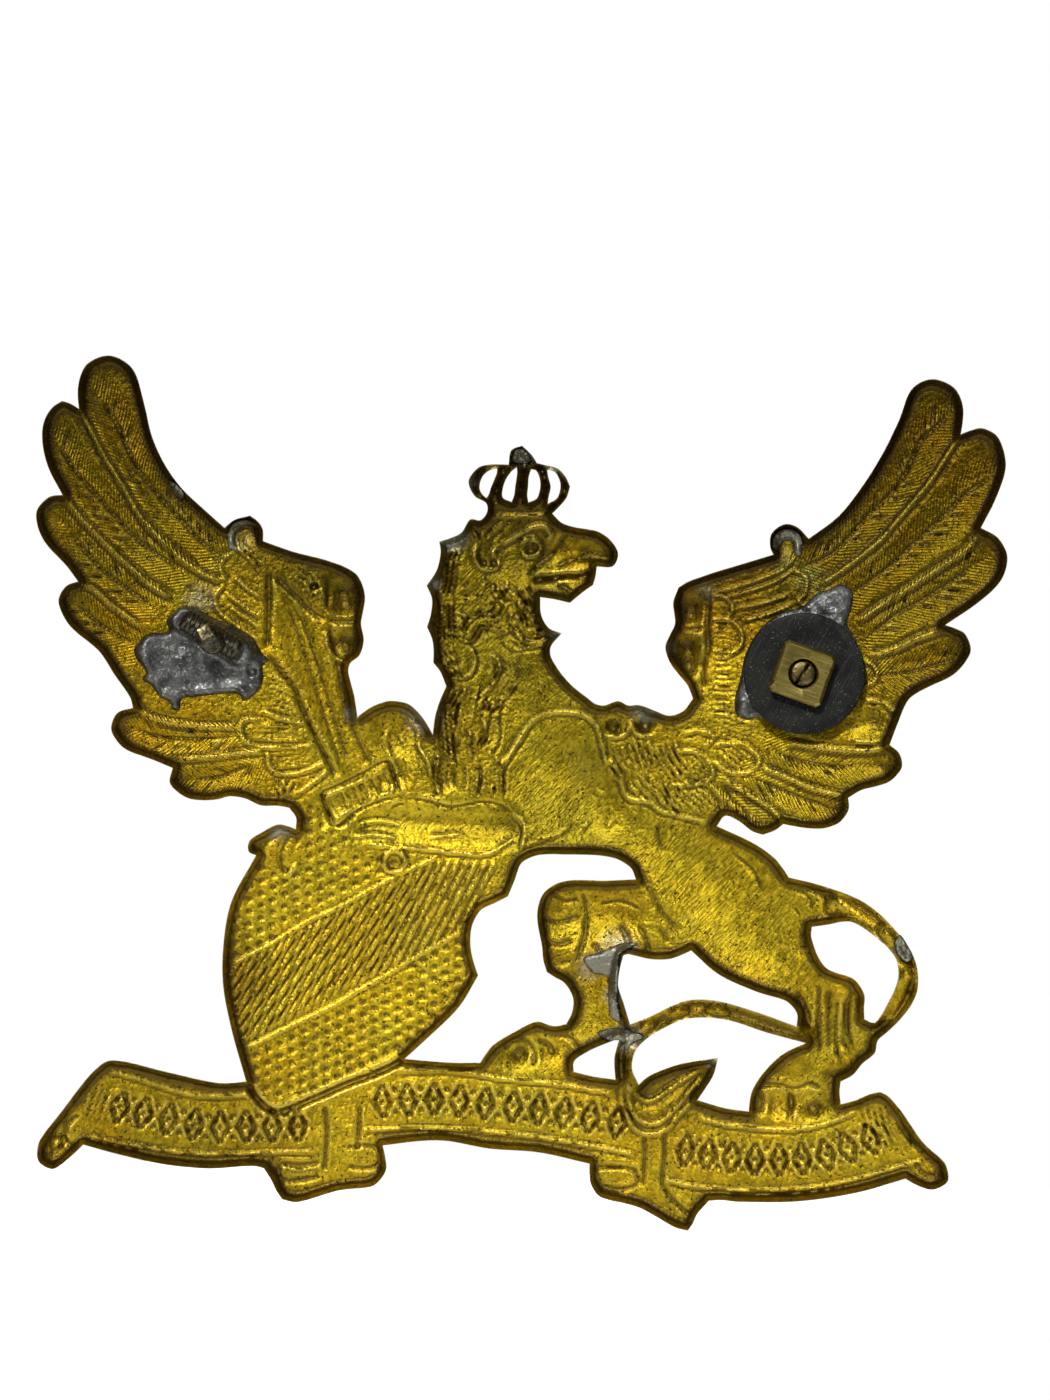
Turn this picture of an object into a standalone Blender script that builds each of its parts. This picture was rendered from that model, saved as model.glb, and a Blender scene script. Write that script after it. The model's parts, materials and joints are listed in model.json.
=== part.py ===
"""Cap badge: a die-struck sheet-brass griffin plate with two soldered studs on its hollow back.

Frame: the badge stands upright as it is worn, +Z up, display side facing -Y, hollow back facing +Y.
The origin lies midway between the two studs, on the plane that the middle of the rim touches.
Plan points are (u, v) in millimetres as seen from behind: u to the right (x = -u), v up (z = v).
"""
import math

import bpy
import numpy as np
from mathutils import Vector, geometry
from mathutils.bvhtree import BVHTree

MM = 0.001

# ---- driving dimensions, millimetres ---------------------------------------------------------
SHEET = 0.6             # thickness of the brass sheet
BOW_RADIUS = 380.0      # the plate curves back at both sides to follow the cap
RELIEF = 1.7            # depth of the hollow behind its steep walls
WALL = 1.2              # width of the wall between rim and hollow, in plan
RIM_STEP = 1.5          # spacing of points along the rim
GRID_STEP = 2.4         # spacing of points inside the hollow
GAP = 0.3               # clearance kept between touching pieces

POST_CENTRE = (36.1, -0.32)
POST_RADIUS = 1.62
POST_END = 5.4
POST_SLOT = (0.6, 0.8, 58.0)          # slot width, slot depth, slope of the slot in degrees
BASE_RADIUS = 4.0
BASE_FACES = (0.75, 1.5)
WASHER_CENTRE = (36.4, -0.3)
WASHER_RADII = (2.6, 7.5)
WASHER_FACES = (1.95, 3.15)
NUT_ACROSS_FLATS = 6.8
NUT_CORNER_CUT = 0.5
NUT_FACES = (3.45, 5.5)
NUT_SLOPE = -18.0
BORE_RADIUS = POST_RADIUS + GAP

BAR_ENDS = ((-40.6, 4.25), (-33.5, 0.3))
BAR_RADIUS = 1.5
BAR_HEIGHT = 2.25                     # height of the bar's axis
STUB_BASE = (-36.6, 1.3, 4.45)        # centre of the stub's lower end: u, v, height
STUB_TOP = (-37.7, 2.7, 8.8)
STUB_RADIUS = 1.6
STUB_NIPPED = (1.1, 0.9)              # radius of the nipped end, length of its taper

# ---- outline of the stamping -----------------------------------------------------------------
# A run is a smooth curve from the previous corner through its points to the next corner.
LEFT_WING = [
    [(-38.4, 17.8), (-41.2, 20.3), (-43.4, 23.2), (-45.1, 26.7), (-46.2, 30.8), (-47.8, 35.0),
     (-50.6, 36.4), (-53.4, 35.1), (-54.3, 32.2), (-54.1, 29.7)],
    [(-56.2, 30.6), (-58.1, 28.6), (-58.5, 26.0), (-57.7, 22.5), (-55.8, 19.0)],
    [(-57.2, 18.8), (-58.9, 16.9), (-58.1, 13.6), (-55.0, 10.2), (-53.6, 8.4)],
    [(-55.0, 7.8), (-55.9, 6.1), (-54.6, 3.1), (-50.7, -0.2), (-48.9, -2.8), (-46.7, -5.9), (-46.4, -7.0)],
    [(-48.3, -7.7), (-49.0, -9.6), (-47.5, -11.9), (-43.9, -13.3), (-41.3, -14.3)],
    [(-41.6, -16.1), (-39.2, -18.0), (-35.6, -18.0), (-34.2, -17.6), (-32.3, -17.8), (-30.3, -18.6),
     (-28.2, -18.6), (-26.8, -18.8), (-25.9, -20.0), (-25.9, -21.4)],
]
SHIELD_EDGE = [
    [(-28.1, -20.9), (-30.0, -21.9), (-31.6, -23.1), (-31.6, -24.4), (-30.7, -24.8)],
    [(-33.6, -30.7), (-34.4, -36.0), (-34.3, -40.9), (-33.1, -46.4), (-31.1, -52.8)],
]
SCROLL = [
    [(-34.2, -53.1), (-40.9, -51.9), (-46.4, -50.7), (-48.2, -50.7), (-49.8, -51.9), (-53.7, -57.1),
     (-56.4, -61.2), (-56.3, -63.3), (-54.6, -64.2), (-52.6, -62.8), (-50.9, -61.1)],
    [(-47.0, -62.1), (-41.0, -63.3), (-35.6, -63.7), (-28.6, -63.5), (-27.6, -65.0), (-26.2, -67.3),
     (-24.6, -67.6), (-19.2, -66.0), (-14.8, -65.2), (-13.5, -63.4), (-14.0, -60.3)],
    [(-9.2, -59.6), (-6.2, -59.5), (-0.8, -60.3), (5.4, -60.6), (11.7, -61.8)],
    [(11.9, -64.2), (12.9, -65.7), (17.9, -67.0), (22.7, -69.4), (24.1, -69.7), (25.2, -67.6),
     (26.6, -65.9), (30.0, -65.9), (37.5, -65.6), (45.0, -64.2), (50.7, -62.3)],
    [(52.5, -63.2), (54.2, -63.5), (55.9, -62.4), (55.6, -60.4), (52.8, -57.8), (49.2, -53.1),
     (47.3, -51.7), (44.4, -52.8), (42.5, -53.4)],
]
HEEL_TAIL_HAUNCH = [
    [(42.4, -50.6), (43.9, -49.7), (45.0, -48.3), (46.5, -46.9), (46.8, -45.4)],
    [(49.7, -42.4), (51.4, -39.4), (51.2, -35.6), (48.8, -31.9), (44.7, -28.4), (39.1, -26.4), (35.3, -25.6)],
    [(33.6, -23.4), (31.0, -21.6), (26.2, -19.5)],
]
RIGHT_WING = [
    [(27.2, -18.2), (28.9, -18.8), (30.6, -20.0), (31.9, -20.4), (33.4, -19.8), (34.4, -19.0)],
    [(37.2, -19.4), (39.2, -19.4), (41.4, -18.5), (42.4, -16.9), (42.3, -15.5)],
    [(43.9, -14.5), (47.2, -13.4), (48.8, -11.4), (48.4, -9.8), (47.2, -8.8)],
    [(48.3, -5.6), (49.4, -3.1), (51.4, -1.7), (55.0, 0.3), (56.8, 3.2), (56.0, 5.2), (53.6, 6.2)],
    [(57.8, 9.3), (60.3, 12.0), (60.9, 15.0), (59.5, 17.3), (57.6, 18.3)],
    [(59.4, 22.2), (60.4, 26.3), (59.1, 29.8), (57.3, 30.6), (54.8, 29.8)],
    [(55.0, 32.9), (53.9, 35.4), (51.1, 36.5), (48.7, 35.3), (47.2, 31.4), (45.3, 27.2), (42.8, 22.9),
     (40.0, 19.2), (36.5, 16.4)],
    [(35.0, 17.8), (33.5, 18.1), (31.9, 16.9), (31.8, 15.2), (32.2, 14.3)],
    [(28.9, 13.2), (23.4, 11.3), (20.6, 9.9), (20.0, 8.0), (20.3, 5.4), (19.2, 2.6), (20.0, 0.3),
     (22.1, -2.2), (22.8, -3.8), (21.6, -5.4), (19.9, -6.0), (18.0, -5.4), (16.1, -4.8), (14.8, -4.9),
     (13.6, -4.4), (11.7, -5.0), (10.7, -4.8)],
]
HEAD = [
    [(7.6, -2.5), (5.8, -0.4), (5.0, 1.0), (5.0, 2.1), (6.3, 3.8)],
    [(4.7, 4.4), (3.7, 6.0), (3.5, 8.2)],
    [(5.2, 8.0), (7.2, 7.6), (8.8, 9.0), (10.0, 9.9), (10.4, 12.2)],
    [(12.4, 12.3), (13.0, 13.8), (12.1, 15.4), (10.5, 16.5), (7.5, 17.0), (5.9, 17.5), (4.7, 18.6)],
    [(6.4, 20.6), (6.8, 22.0), (5.2, 24.2), (2.6, 24.8), (2.0, 25.7), (0.7, 26.9), (-0.6, 26.3), (-0.9, 24.5)],
    [(-2.2, 24.5), (-4.5, 24.1), (-5.8, 22.2), (-5.0, 20.5), (-3.5, 19.6), (-3.4, 18.5)],
]
NECK_SPIKES = [
    [(-4.2, 17.5), (-5.4, 17.6)],
    [(-6.5, 15.9), (-7.8, 15.2), (-9.2, 14.7)],
    [(-9.0, 13.6), (-9.4, 11.2), (-10.6, 9.2)],
    [(-9.9, 7.6), (-10.0, 5.6), (-10.4, 4.1)],
    [(-9.7, 2.5), (-9.5, 1.1), (-9.5, -0.3)],
    [(-8.6, -1.4), (-7.8, -3.2), (-8.5, -4.9), (-9.1, -7.1), (-9.3, -9.2)],
]
LEFT_SHOULDER = [
    [(-10.6, -7.2), (-12.5, -5.5), (-14.7, -5.2), (-17.1, -6.1), (-18.7, -7.3)],
    [(-19.2, -4.6), (-20.0, -1.6), (-19.8, -0.7), (-18.7, 0.3), (-18.2, 2.2), (-18.6, 4.3), (-18.2, 7.5),
     (-19.3, 10.3), (-22.5, 11.8), (-27.2, 12.9), (-31.0, 14.1)],
    [(-31.1, 15.6), (-32.7, 17.2), (-34.6, 16.6), (-35.8, 15.6)],
]
OUTLINE = (LEFT_WING + SHIELD_EDGE + SCROLL + HEEL_TAIL_HAUNCH + RIGHT_WING + HEAD + NECK_SPIKES
           + LEFT_SHOULDER)

# ---- pierced gaps ----------------------------------------------------------------------------
CROWN_GAPS = [
    [(-2.3, 24.0), (-3.9, 23.2), (-4.4, 21.4), (-3.5, 20.3), (-3.0, 21.6)],
    [(0.1, 24.2), (-1.2, 22.6), (-1.5, 20.4), (-0.4, 19.9), (0.0, 21.8)],
    [(1.9, 24.0), (1.6, 21.9), (1.7, 19.9), (2.7, 20.4), (3.1, 22.4), (2.5, 23.9)],
    [(3.9, 24.0), (4.4, 21.9), (4.1, 19.8), (5.2, 20.5), (5.6, 22.3), (4.8, 23.8)],
]
BELLY_GAP = [
    [(2.1, -24.9), (4.1, -23.8), (7.4, -23.6), (11.9, -23.6), (13.8, -23.9), (15.8, -25.1), (16.4, -26.4)],
    [(12.2, -26.7), (9.2, -26.7), (6.9, -27.1), (5.0, -28.5), (4.3, -31.0), (5.0, -35.0), (5.7, -38.2),
     (7.8, -39.4), (9.1, -41.6), (8.3, -44.6), (6.7, -44.9), (4.7, -44.4), (2.2, -45.6), (-0.8, -47.6),
     (-2.2, -49.7)],
    [(-6.0, -49.8), (-11.6, -49.5)],
    [(-8.9, -46.9), (-5.0, -42.8), (-2.8, -38.9)],
    [(-3.7, -36.2), (-3.8, -33.1), (-2.6, -30.7), (0.6, -29.0), (1.4, -26.9)],
]
LEG_GAP = [
    [(15.6, -35.7), (18.3, -36.2), (21.0, -36.1), (23.5, -35.0)],
    [(26.9, -37.8), (31.9, -39.9), (35.6, -41.0), (36.8, -42.4), (36.8, -44.0)],
    [(31.9, -42.4), (26.4, -41.1), (22.8, -41.3), (18.9, -43.2), (16.2, -44.4)],
    [(15.3, -41.7), (14.6, -39.7), (14.8, -37.2), (15.1, -35.9)],
]
TAIL_GAP = [
    [(19.4, -45.3), (23.1, -43.5), (27.8, -43.4), (33.3, -44.9), (38.0, -46.0)],
    [(35.4, -47.3), (33.0, -49.7), (31.5, -52.3), (31.2, -54.7)],
    [(28.3, -54.4), (24.8, -53.5)],
    [(26.7, -50.3), (27.2, -48.2)],
    [(22.2, -49.2), (18.6, -50.8), (17.5, -51.8)],
    [(16.6, -49.8), (17.0, -47.6), (18.2, -46.2)],
]
HEEL_GAP = [
    [(11.1, -47.9), (15.0, -46.1)],
    [(14.4, -48.6), (14.6, -51.3)],
    [(11.9, -51.0), (9.4, -50.5)],
    [(9.4, -49.2)],
]
LOOP_GAP = [
    [(40.5, -31.2), (43.0, -30.8), (46.3, -32.7), (48.7, -35.1), (49.1, -37.6), (48.0, -40.6),
     (46.3, -43.2), (45.1, -42.8), (45.0, -39.8), (43.8, -38.0), (40.2, -36.6), (38.6, -33.9), (38.3, -31.6)],
]

# ---- rounded forms of the relief: from, to, radius, extra depth --------------------------------
FORMS = {
    "head": ((-1, 14), (3, 13), 6.0, 0.8), "beak": ((5, 14), (11, 14), 3.0, 0.5),
    "neck": ((-3, 8), (1, -6), 6.5, 0.6), "breast": ((6, -13), (9, -15), 8.5, 1.0),
    "trunk": ((12, -19), (24, -24), 7.0, 0.7), "haunch": ((27, -28), (32, -33), 9.0, 1.1),
    "near_shank": ((38, -40), (41, -47), 4.0, 0.6), "near_foot": ((36, -52), (40, -52), 5.0, 0.5),
    "far_thigh": ((8, -31), (14, -31), 5.0, 0.8), "far_shank": ((11, -39), (11, -44), 3.5, 0.5),
    "far_foot": ((3, -48), (7, -47), 4.0, 0.5), "forearm": ((-17, -20), (0, -20.5), 4.0, 0.7),
    "sword": ((-27, 4), (-19, -14), 3.5, 0.4), "guard": ((-22, -19), (-14, -14.5), 2.5, 0.5),
    "fan": ((-14, -10), (-13, -9), 6.0, 0.4), "shield": ((-22, -35), (-16, -42), 18.0, 0.6),
    "left_shoulder": ((-21, 8), (-21, 7.5), 3.4, 0.8), "left_elbow": ((-20.7, 2), (-20.7, 1.5), 3.0, 0.8),
    "right_shoulder": ((22.5, 7), (22.5, 6.5), 3.4, 0.8), "right_elbow": ((22.2, 2), (22.2, 0), 3.0, 0.8),
    "left_curl": ((-33.4, 15.2), (-33, 15), 2.5, 0.5), "right_curl": ((33.7, 16), (33.6, 15.8), 2.5, 0.5),
    "left_feather_1": ((-51, 33), (-43, 18), 4.5, 0.4), "left_feather_2": ((-56, 26), (-46, 13), 4.0, 0.4),
    "left_feather_3": ((-56, 15), (-47, 7.5), 4.0, 0.4), "left_feather_4": ((-53, 5), (-48, 1.5), 3.5, 0.4),
    "right_feather_1": ((52, 33), (44, 19), 4.5, 0.4), "right_feather_2": ((58, 26), (48, 14), 4.0, 0.4),
    "right_feather_3": ((58, 14), (48, 8), 4.0, 0.4), "right_feather_4": ((54, 2.5), (48, 1), 3.5, 0.4),
    "left_scroll_end": ((-54.5, -62), (-54, -61), 2.5, 0.4), "leaf": ((19, -53), (24, -50), 2.6, 0.5),
}

# ---- solder: outline in plan, thickness at its edge and at its middle ----------------------------
LEFT_POOL = [(-41.2, 5.4), (-38.9, 5.1), (-36.7, 4.3), (-33.2, 2.6), (-31.2, 0.9), (-30.2, -1.2), (-31.2, -4.1),
             (-33.1, -5.4), (-37.6, -5.2), (-40.9, -6.9), (-42.6, -5.9), (-45.1, -3.6), (-46.0, -0.8),
             (-44.8, 1.9), (-42.5, 3.0)]
RIGHT_POOL = [(42.0, 9.4), (40.2, 10.6), (38.4, 9.6), (34.8, 6.6), (31.0, 4.4), (29.6, 1.0), (28.2, -1.6),
              (28.2, -5.4), (30.2, -6.1), (35.0, -6.2), (40.4, -4.4), (42.4, 0.0), (42.2, 4.6), (41.6, 6.6)]
SOLDER_PATCHES = {
    "hind_leg_solder": [(12.0, -37.5), (13.4, -37.1), (13.7, -39.6), (14.1, -42.0), (13.6, -43.6),
                        (12.7, -42.6), (12.4, -40.2)],
    "tail_crossing_solder": [(15.2, -45.8), (16.9, -45.6), (17.0, -46.3), (16.2, -47.6), (15.5, -47.2)],
    "tail_solder_spot": [(49.0, -33.4), (49.9, -34.2), (50.2, -35.4), (49.7, -35.6), (49.0, -34.6)],
    "crown_orb_solder": [(0.1, 24.9), (1.1, 24.9), (1.3, 25.5), (0.6, 26.2), (-0.1, 25.6)],
    "wing_edge_solder": [(-42.6, 20.3), (-41.6, 19.3), (-40.9, 19.1), (-41.3, 18.4), (-42.6, 19.2)],
    "left_curl_deposit": [(-33.9, 15.8), (-32.6, 15.9), (-31.9, 15.1), (-32.6, 14.5), (-33.9, 14.7)],
    "right_curl_deposit": [(32.9, 15.4), (33.2, 16.9), (34.6, 17.0), (35.0, 16.3), (34.0, 15.2)],
}
PATCH_THICKNESS = 0.35
POOL_EDGE = 0.35
LEFT_POOL_RISE = 1.0
RIGHT_POOL_RISE = 0.25

# ---- finishes: colour, metallic, roughness -------------------------------------------------------
FINISHES = {
    "plate_brass": ((0.42, 0.33, 0.06), 1.0, 0.38),
    "stud_brass": ((0.40, 0.31, 0.12), 1.0, 0.35),
    "nut_brass": ((0.28, 0.21, 0.08), 1.0, 0.42),
    "solder": ((0.27, 0.27, 0.25), 1.0, 0.5),
    "washer": ((0.045, 0.045, 0.035), 0.0, 0.7),
}


def material(slot):
    """The Principled material of one finish, made once."""
    if slot in bpy.data.materials:
        return bpy.data.materials[slot]
    colour, metallic, roughness = FINISHES[slot]
    mat = bpy.data.materials.new(slot)
    mat.use_nodes = True
    shader = mat.node_tree.nodes["Principled BSDF"]
    shader.inputs["Base Color"].default_value = (*colour, 1.0)
    shader.inputs["Metallic"].default_value = metallic
    shader.inputs["Roughness"].default_value = roughness
    return mat


def world(u, v, height):
    """A plan point at a height, as a place in the badge's frame in metres."""
    return Vector((-u * MM, height * MM, v * MM))


def add_object(name, slot, points, faces, origin=(0.0, 0.0, 0.0), smooth=True):
    """An object from (u, v, height) points, standing on its own origin."""
    origin = Vector(origin)
    mesh = bpy.data.meshes.new(name)
    mesh.from_pydata([world(*point) - origin for point in points], [], faces)
    mesh.materials.append(material(slot))
    if smooth:
        mesh.shade_smooth()
        mesh.set_sharp_from_angle(angle=math.radians(35))
    obj = bpy.data.objects.new(name, mesh)
    obj.location = origin
    bpy.context.scene.collection.objects.link(obj)
    return obj


# ---- plan geometry ---------------------------------------------------------------------------
def smooth_run(points, step, closed=False):
    """Points every step or so along a centripetal Catmull-Rom curve through the given points."""
    knots = [np.array(p, float) for p in points]
    if closed:
        knots = [knots[-1]] + knots + knots[:2]
    else:
        knots = [2 * knots[0] - knots[1]] + knots + [2 * knots[-1] - knots[-2]]
    track = []
    for p0, p1, p2, p3 in zip(knots, knots[1:], knots[2:], knots[3:]):
        t0 = 0.0
        t1 = t0 + max(np.linalg.norm(p1 - p0), 1e-6) ** 0.5
        t2 = t1 + max(np.linalg.norm(p2 - p1), 1e-6) ** 0.5
        t3 = t2 + max(np.linalg.norm(p3 - p2), 1e-6) ** 0.5
        count = max(1, round(float(np.linalg.norm(p2 - p1)) / step))
        for t in t1 + (t2 - t1) * np.arange(count) / count:
            a1 = (t1 - t) / (t1 - t0) * p0 + (t - t0) / (t1 - t0) * p1
            a2 = (t2 - t) / (t2 - t1) * p1 + (t - t1) / (t2 - t1) * p2
            a3 = (t3 - t) / (t3 - t2) * p2 + (t - t2) / (t3 - t2) * p3
            b1 = (t2 - t) / (t2 - t0) * a1 + (t - t0) / (t2 - t0) * a2
            b2 = (t3 - t) / (t3 - t1) * a2 + (t - t1) / (t3 - t1) * a3
            track.append((t2 - t) / (t2 - t1) * b1 + (t - t1) / (t2 - t1) * b2)
    return [tuple(point) for point in track]


def cornered_loop(runs, step):
    """A closed loop of smooth runs that meet in corners."""
    loop = []
    corner = runs[-1][-1]
    for run in runs:
        loop += smooth_run([corner] + run, step)
        corner = run[-1]
    return loop


def circle(centre, radius, sides, phase=0.0):
    """A regular polygon's corners, anticlockwise."""
    turn = 2 * math.pi / sides
    return [(centre[0] + radius * math.cos(phase + turn * i), centre[1] + radius * math.sin(phase + turn * i))
            for i in range(sides)]


def distance_to_loops(points, loops):
    """Shortest distance from each point to any edge of the loops."""
    points = np.asarray(points, float).reshape(-1, 2)
    nearest = np.full(len(points), np.inf)
    for loop in loops:
        start = np.array(loop)
        edge = np.roll(start, -1, axis=0) - start
        length2 = np.maximum((edge ** 2).sum(axis=1), 1e-12)
        for a, e, l2 in zip(start, edge, length2):
            along = np.clip(((points - a) @ e) / l2, 0.0, 1.0)
            gap = points - a - along[:, None] * e
            nearest = np.minimum(nearest, np.hypot(gap[:, 0], gap[:, 1]))
    return nearest


def inside_loops(points, loops):
    """Which points lie inside an odd number of the loops."""
    points = np.asarray(points, float).reshape(-1, 2)
    odd = np.zeros(len(points), bool)
    for loop in loops:
        start = np.array(loop)
        for (u0, v0), (u1, v1) in zip(start, np.roll(start, -1, axis=0)):
            if v0 == v1:
                continue
            crosses = (points[:, 1] < v0) != (points[:, 1] < v1)
            odd ^= crosses & (points[:, 0] < u0 + (points[:, 1] - v0) / (v1 - v0) * (u1 - u0))
    return odd


def spread_points(loops, step, margin):
    """A triangular grid of points inside the loops, clear of their edges."""
    low = np.min(loops[0], axis=0)
    high = np.max(loops[0], axis=0)
    rows = []
    for row, v in enumerate(np.arange(low[1], high[1], step * math.sqrt(0.75))):
        for u in np.arange(low[0] + (row % 2) * step / 2, high[0], step):
            rows.append((u, v))
    rows = np.array(rows)
    keep = inside_loops(rows, loops) & (distance_to_loops(rows, loops) > margin)
    return rows[keep]


def wall_foot(loops, offset):
    """Points one offset inside the loops' edges, thinned where the edge turns or runs close."""
    feet = []
    for loop in loops:
        start = np.array(loop)
        along = np.roll(start, -1, axis=0) - np.roll(start, 1, axis=0)
        normal = np.stack([-along[:, 1], along[:, 0]], axis=1)
        normal /= np.maximum(np.linalg.norm(normal, axis=1), 1e-9)[:, None]
        for side in (1.0, -1.0):
            moved = start + side * offset * normal
            clear = inside_loops(moved, loops) & (distance_to_loops(moved, loops) > 0.9 * offset)
            feet += [tuple(p) for p in moved[clear]]
    return feet


def thin_out(points, spacing, kept=()):
    """The points that keep their spacing from each other and from those already kept."""
    kept = [np.array(p) for p in kept]
    first_new = len(kept)
    for point in points:
        point = np.array(point)
        if not kept or np.min(np.linalg.norm(np.array(kept) - point, axis=1)) > spacing:
            kept.append(point)
    return kept[first_new:]


def solid_over_region(name, slot, loops, inner, back, front, origin=(0.0, 0.0, 0.0)):
    """A closed solid over the area inside the loops, between a back height and a front height."""
    corners = []
    edges = []
    for loop in loops:
        first = len(corners)
        corners += [Vector(point) for point in loop]
        edges += [(first + i, first + (i + 1) % len(loop)) for i in range(len(loop))]
    corners += [Vector(point) for point in inner]
    filled = geometry.delaunay_2d_cdt(corners, edges, [], 0, 1e-5)
    plan = np.array([tuple(v) for v in filled[0]])
    triangles = [list(face) for face in filled[2]]
    centres = np.array([plan[face].mean(axis=0) for face in triangles])
    inside = inside_loops(centres, loops)
    triangles = [face for face, keep in zip(triangles, inside) if keep]
    for face in triangles:
        (au, av), (bu, bv), (cu, cv) = plan[face]
        if (bu - au) * (cv - av) < (cu - au) * (bv - av):
            face.reverse()
    used = sorted({index for face in triangles for index in face})
    place = {old: new for new, old in enumerate(used)}
    plan = plan[used]
    triangles = [[place[i] for i in face] for face in triangles]
    half_edges = {(face[i], face[(i + 1) % 3]) for face in triangles for i in range(3)}
    rim = [(a, b) for a, b in half_edges if (b, a) not in half_edges]
    count = len(plan)
    points = [(u, v, h) for (u, v), h in zip(plan, back(plan))]
    points += [(u, v, h) for (u, v), h in zip(plan, front(plan))]
    faces = list(triangles)
    faces += [[i + count for i in reversed(face)] for face in triangles]
    faces += [[b, a, a + count, b + count] for a, b in sorted(rim)]
    return add_object(name, slot, points, faces, origin)


def level(height):
    """A flat face at one height."""
    return lambda plan: np.full(len(plan), height)


# ---- relief of the stamping --------------------------------------------------------------------
def eased(x):
    """Smooth rise from 0 to 1."""
    x = np.clip(x, 0.0, 1.0)
    return x * x * (3 - 2 * x)


def bow(plan):
    """Height of the rim: the plate curves towards the cap at both sides."""
    return plan[:, 0] ** 2 / (2 * BOW_RADIUS)


def form_depth(plan, start, end, radius, depth):
    """Extra depth of one rounded form along its centre line."""
    start = np.array(start, float)
    axis = np.array(end, float) - start
    along = np.clip(((plan - start) @ axis) / (axis @ axis), 0.0, 1.0)
    gap = plan - start - along[:, None] * axis
    return depth * (1 - eased(np.hypot(gap[:, 0], gap[:, 1]) / radius))


def hollow_back(plan, loops):
    """Height of the hollow side: steep walls at the rim, rounded forms inside."""
    wall = eased(distance_to_loops(plan, loops) / WALL)
    depth = np.full(len(plan), RELIEF)
    for form in FORMS.values():
        depth += form_depth(plan, *form)
    return bow(plan) - wall * depth


def build_plate():
    """The stamping: one sheet of even thickness with its pierced gaps."""
    loops = [cornered_loop(OUTLINE, RIM_STEP)]
    loops += [smooth_run(gap, RIM_STEP * 0.6, closed=True) for gap in CROWN_GAPS]
    loops += [cornered_loop(runs, RIM_STEP) for runs in (BELLY_GAP, LEG_GAP, TAIL_GAP, HEEL_GAP)]
    loops += [smooth_run(LOOP_GAP[0], RIM_STEP, closed=True)]
    feet = thin_out(wall_foot(loops, WALL), 0.75 * RIM_STEP)
    narrow = thin_out(wall_foot(loops, 0.6 * WALL), 0.6 * RIM_STEP, feet)
    narrow = [p for p in narrow if distance_to_loops([p], loops)[0] < 0.7 * WALL]
    narrow = thin_out(narrow, 0.6 * RIM_STEP, [*feet])
    middle = spread_points(loops, GRID_STEP, WALL + 0.4 * GRID_STEP)
    inner = [*feet, *narrow, *thin_out(middle, 0.5 * GRID_STEP, feet)]

    def back(plan):
        return hollow_back(plan, loops)

    def front(plan):
        return hollow_back(plan, loops) - SHEET

    return solid_over_region("badge_plate", "plate_brass", loops, inner, back, front)


def plate_surface(plate):
    """A function that gives the height of the plate's hollow side above plan points."""
    vertices = [vertex.co for vertex in plate.data.vertices]
    polygons = [tuple(polygon.vertices) for polygon in plate.data.polygons]
    tree = BVHTree.FromPolygons(vertices, polygons)
    above = 20.0

    def height(plan):
        found = []
        for u, v in plan:
            hit = tree.ray_cast(world(u, v, above), Vector((0.0, -1.0, 0.0)))[0]
            found.append(hit.y / MM)
        return np.array(found)

    return height


# ---- solder -----------------------------------------------------------------------------------
def solder_mound(name, outline, surface, edge, rise, holes=(), step=1.4):
    """Solder that lies on the hollow side and thickens away from its edge."""
    loops = [smooth_run(outline, step, closed=True), *holes]
    inner = spread_points(loops, step, 0.5 * step)
    spread = 2.5

    def underside(plan):
        return surface(plan) + GAP

    def top(plan):
        return underside(plan) + edge + rise * eased(distance_to_loops(plan, loops[:1]) / spread)

    return solid_over_region(name, "solder", loops, inner, top, underside)


def cut(obj, cutter):
    """Cut a hidden guide solid out of an object."""
    cutter.hide_render = True
    cutter.display_type = "WIRE"
    modifier = obj.modifiers.new("cut_" + cutter.name, "BOOLEAN")
    modifier.operation = "DIFFERENCE"
    modifier.solver = "EXACT"
    modifier.object = cutter


# ---- studs ------------------------------------------------------------------------------------
def round_bar(name, slot, rings, sides, smooth=True):
    """A closed round bar through rings of (centre, radius), square to its overall direction."""
    first = Vector(rings[0][0])
    direction = (Vector(rings[-1][0]) - first).normalized()
    across = direction.orthogonal().normalized()
    up = direction.cross(across)
    points = []
    for centre, radius in rings:
        for i in range(sides):
            turn = 2 * math.pi * i / sides
            points.append(tuple(Vector(centre) + radius * (math.cos(turn) * across + math.sin(turn) * up)))
    faces = [list(reversed(range(sides)))]
    for ring in range(len(rings) - 1):
        low = ring * sides
        for i in range(sides):
            j = (i + 1) % sides
            faces.append([low + i, low + j, low + sides + j, low + sides + i])
    faces.append([(len(rings) - 1) * sides + i for i in range(sides)])
    return add_object(name, slot, points, faces, smooth=smooth)


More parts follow.
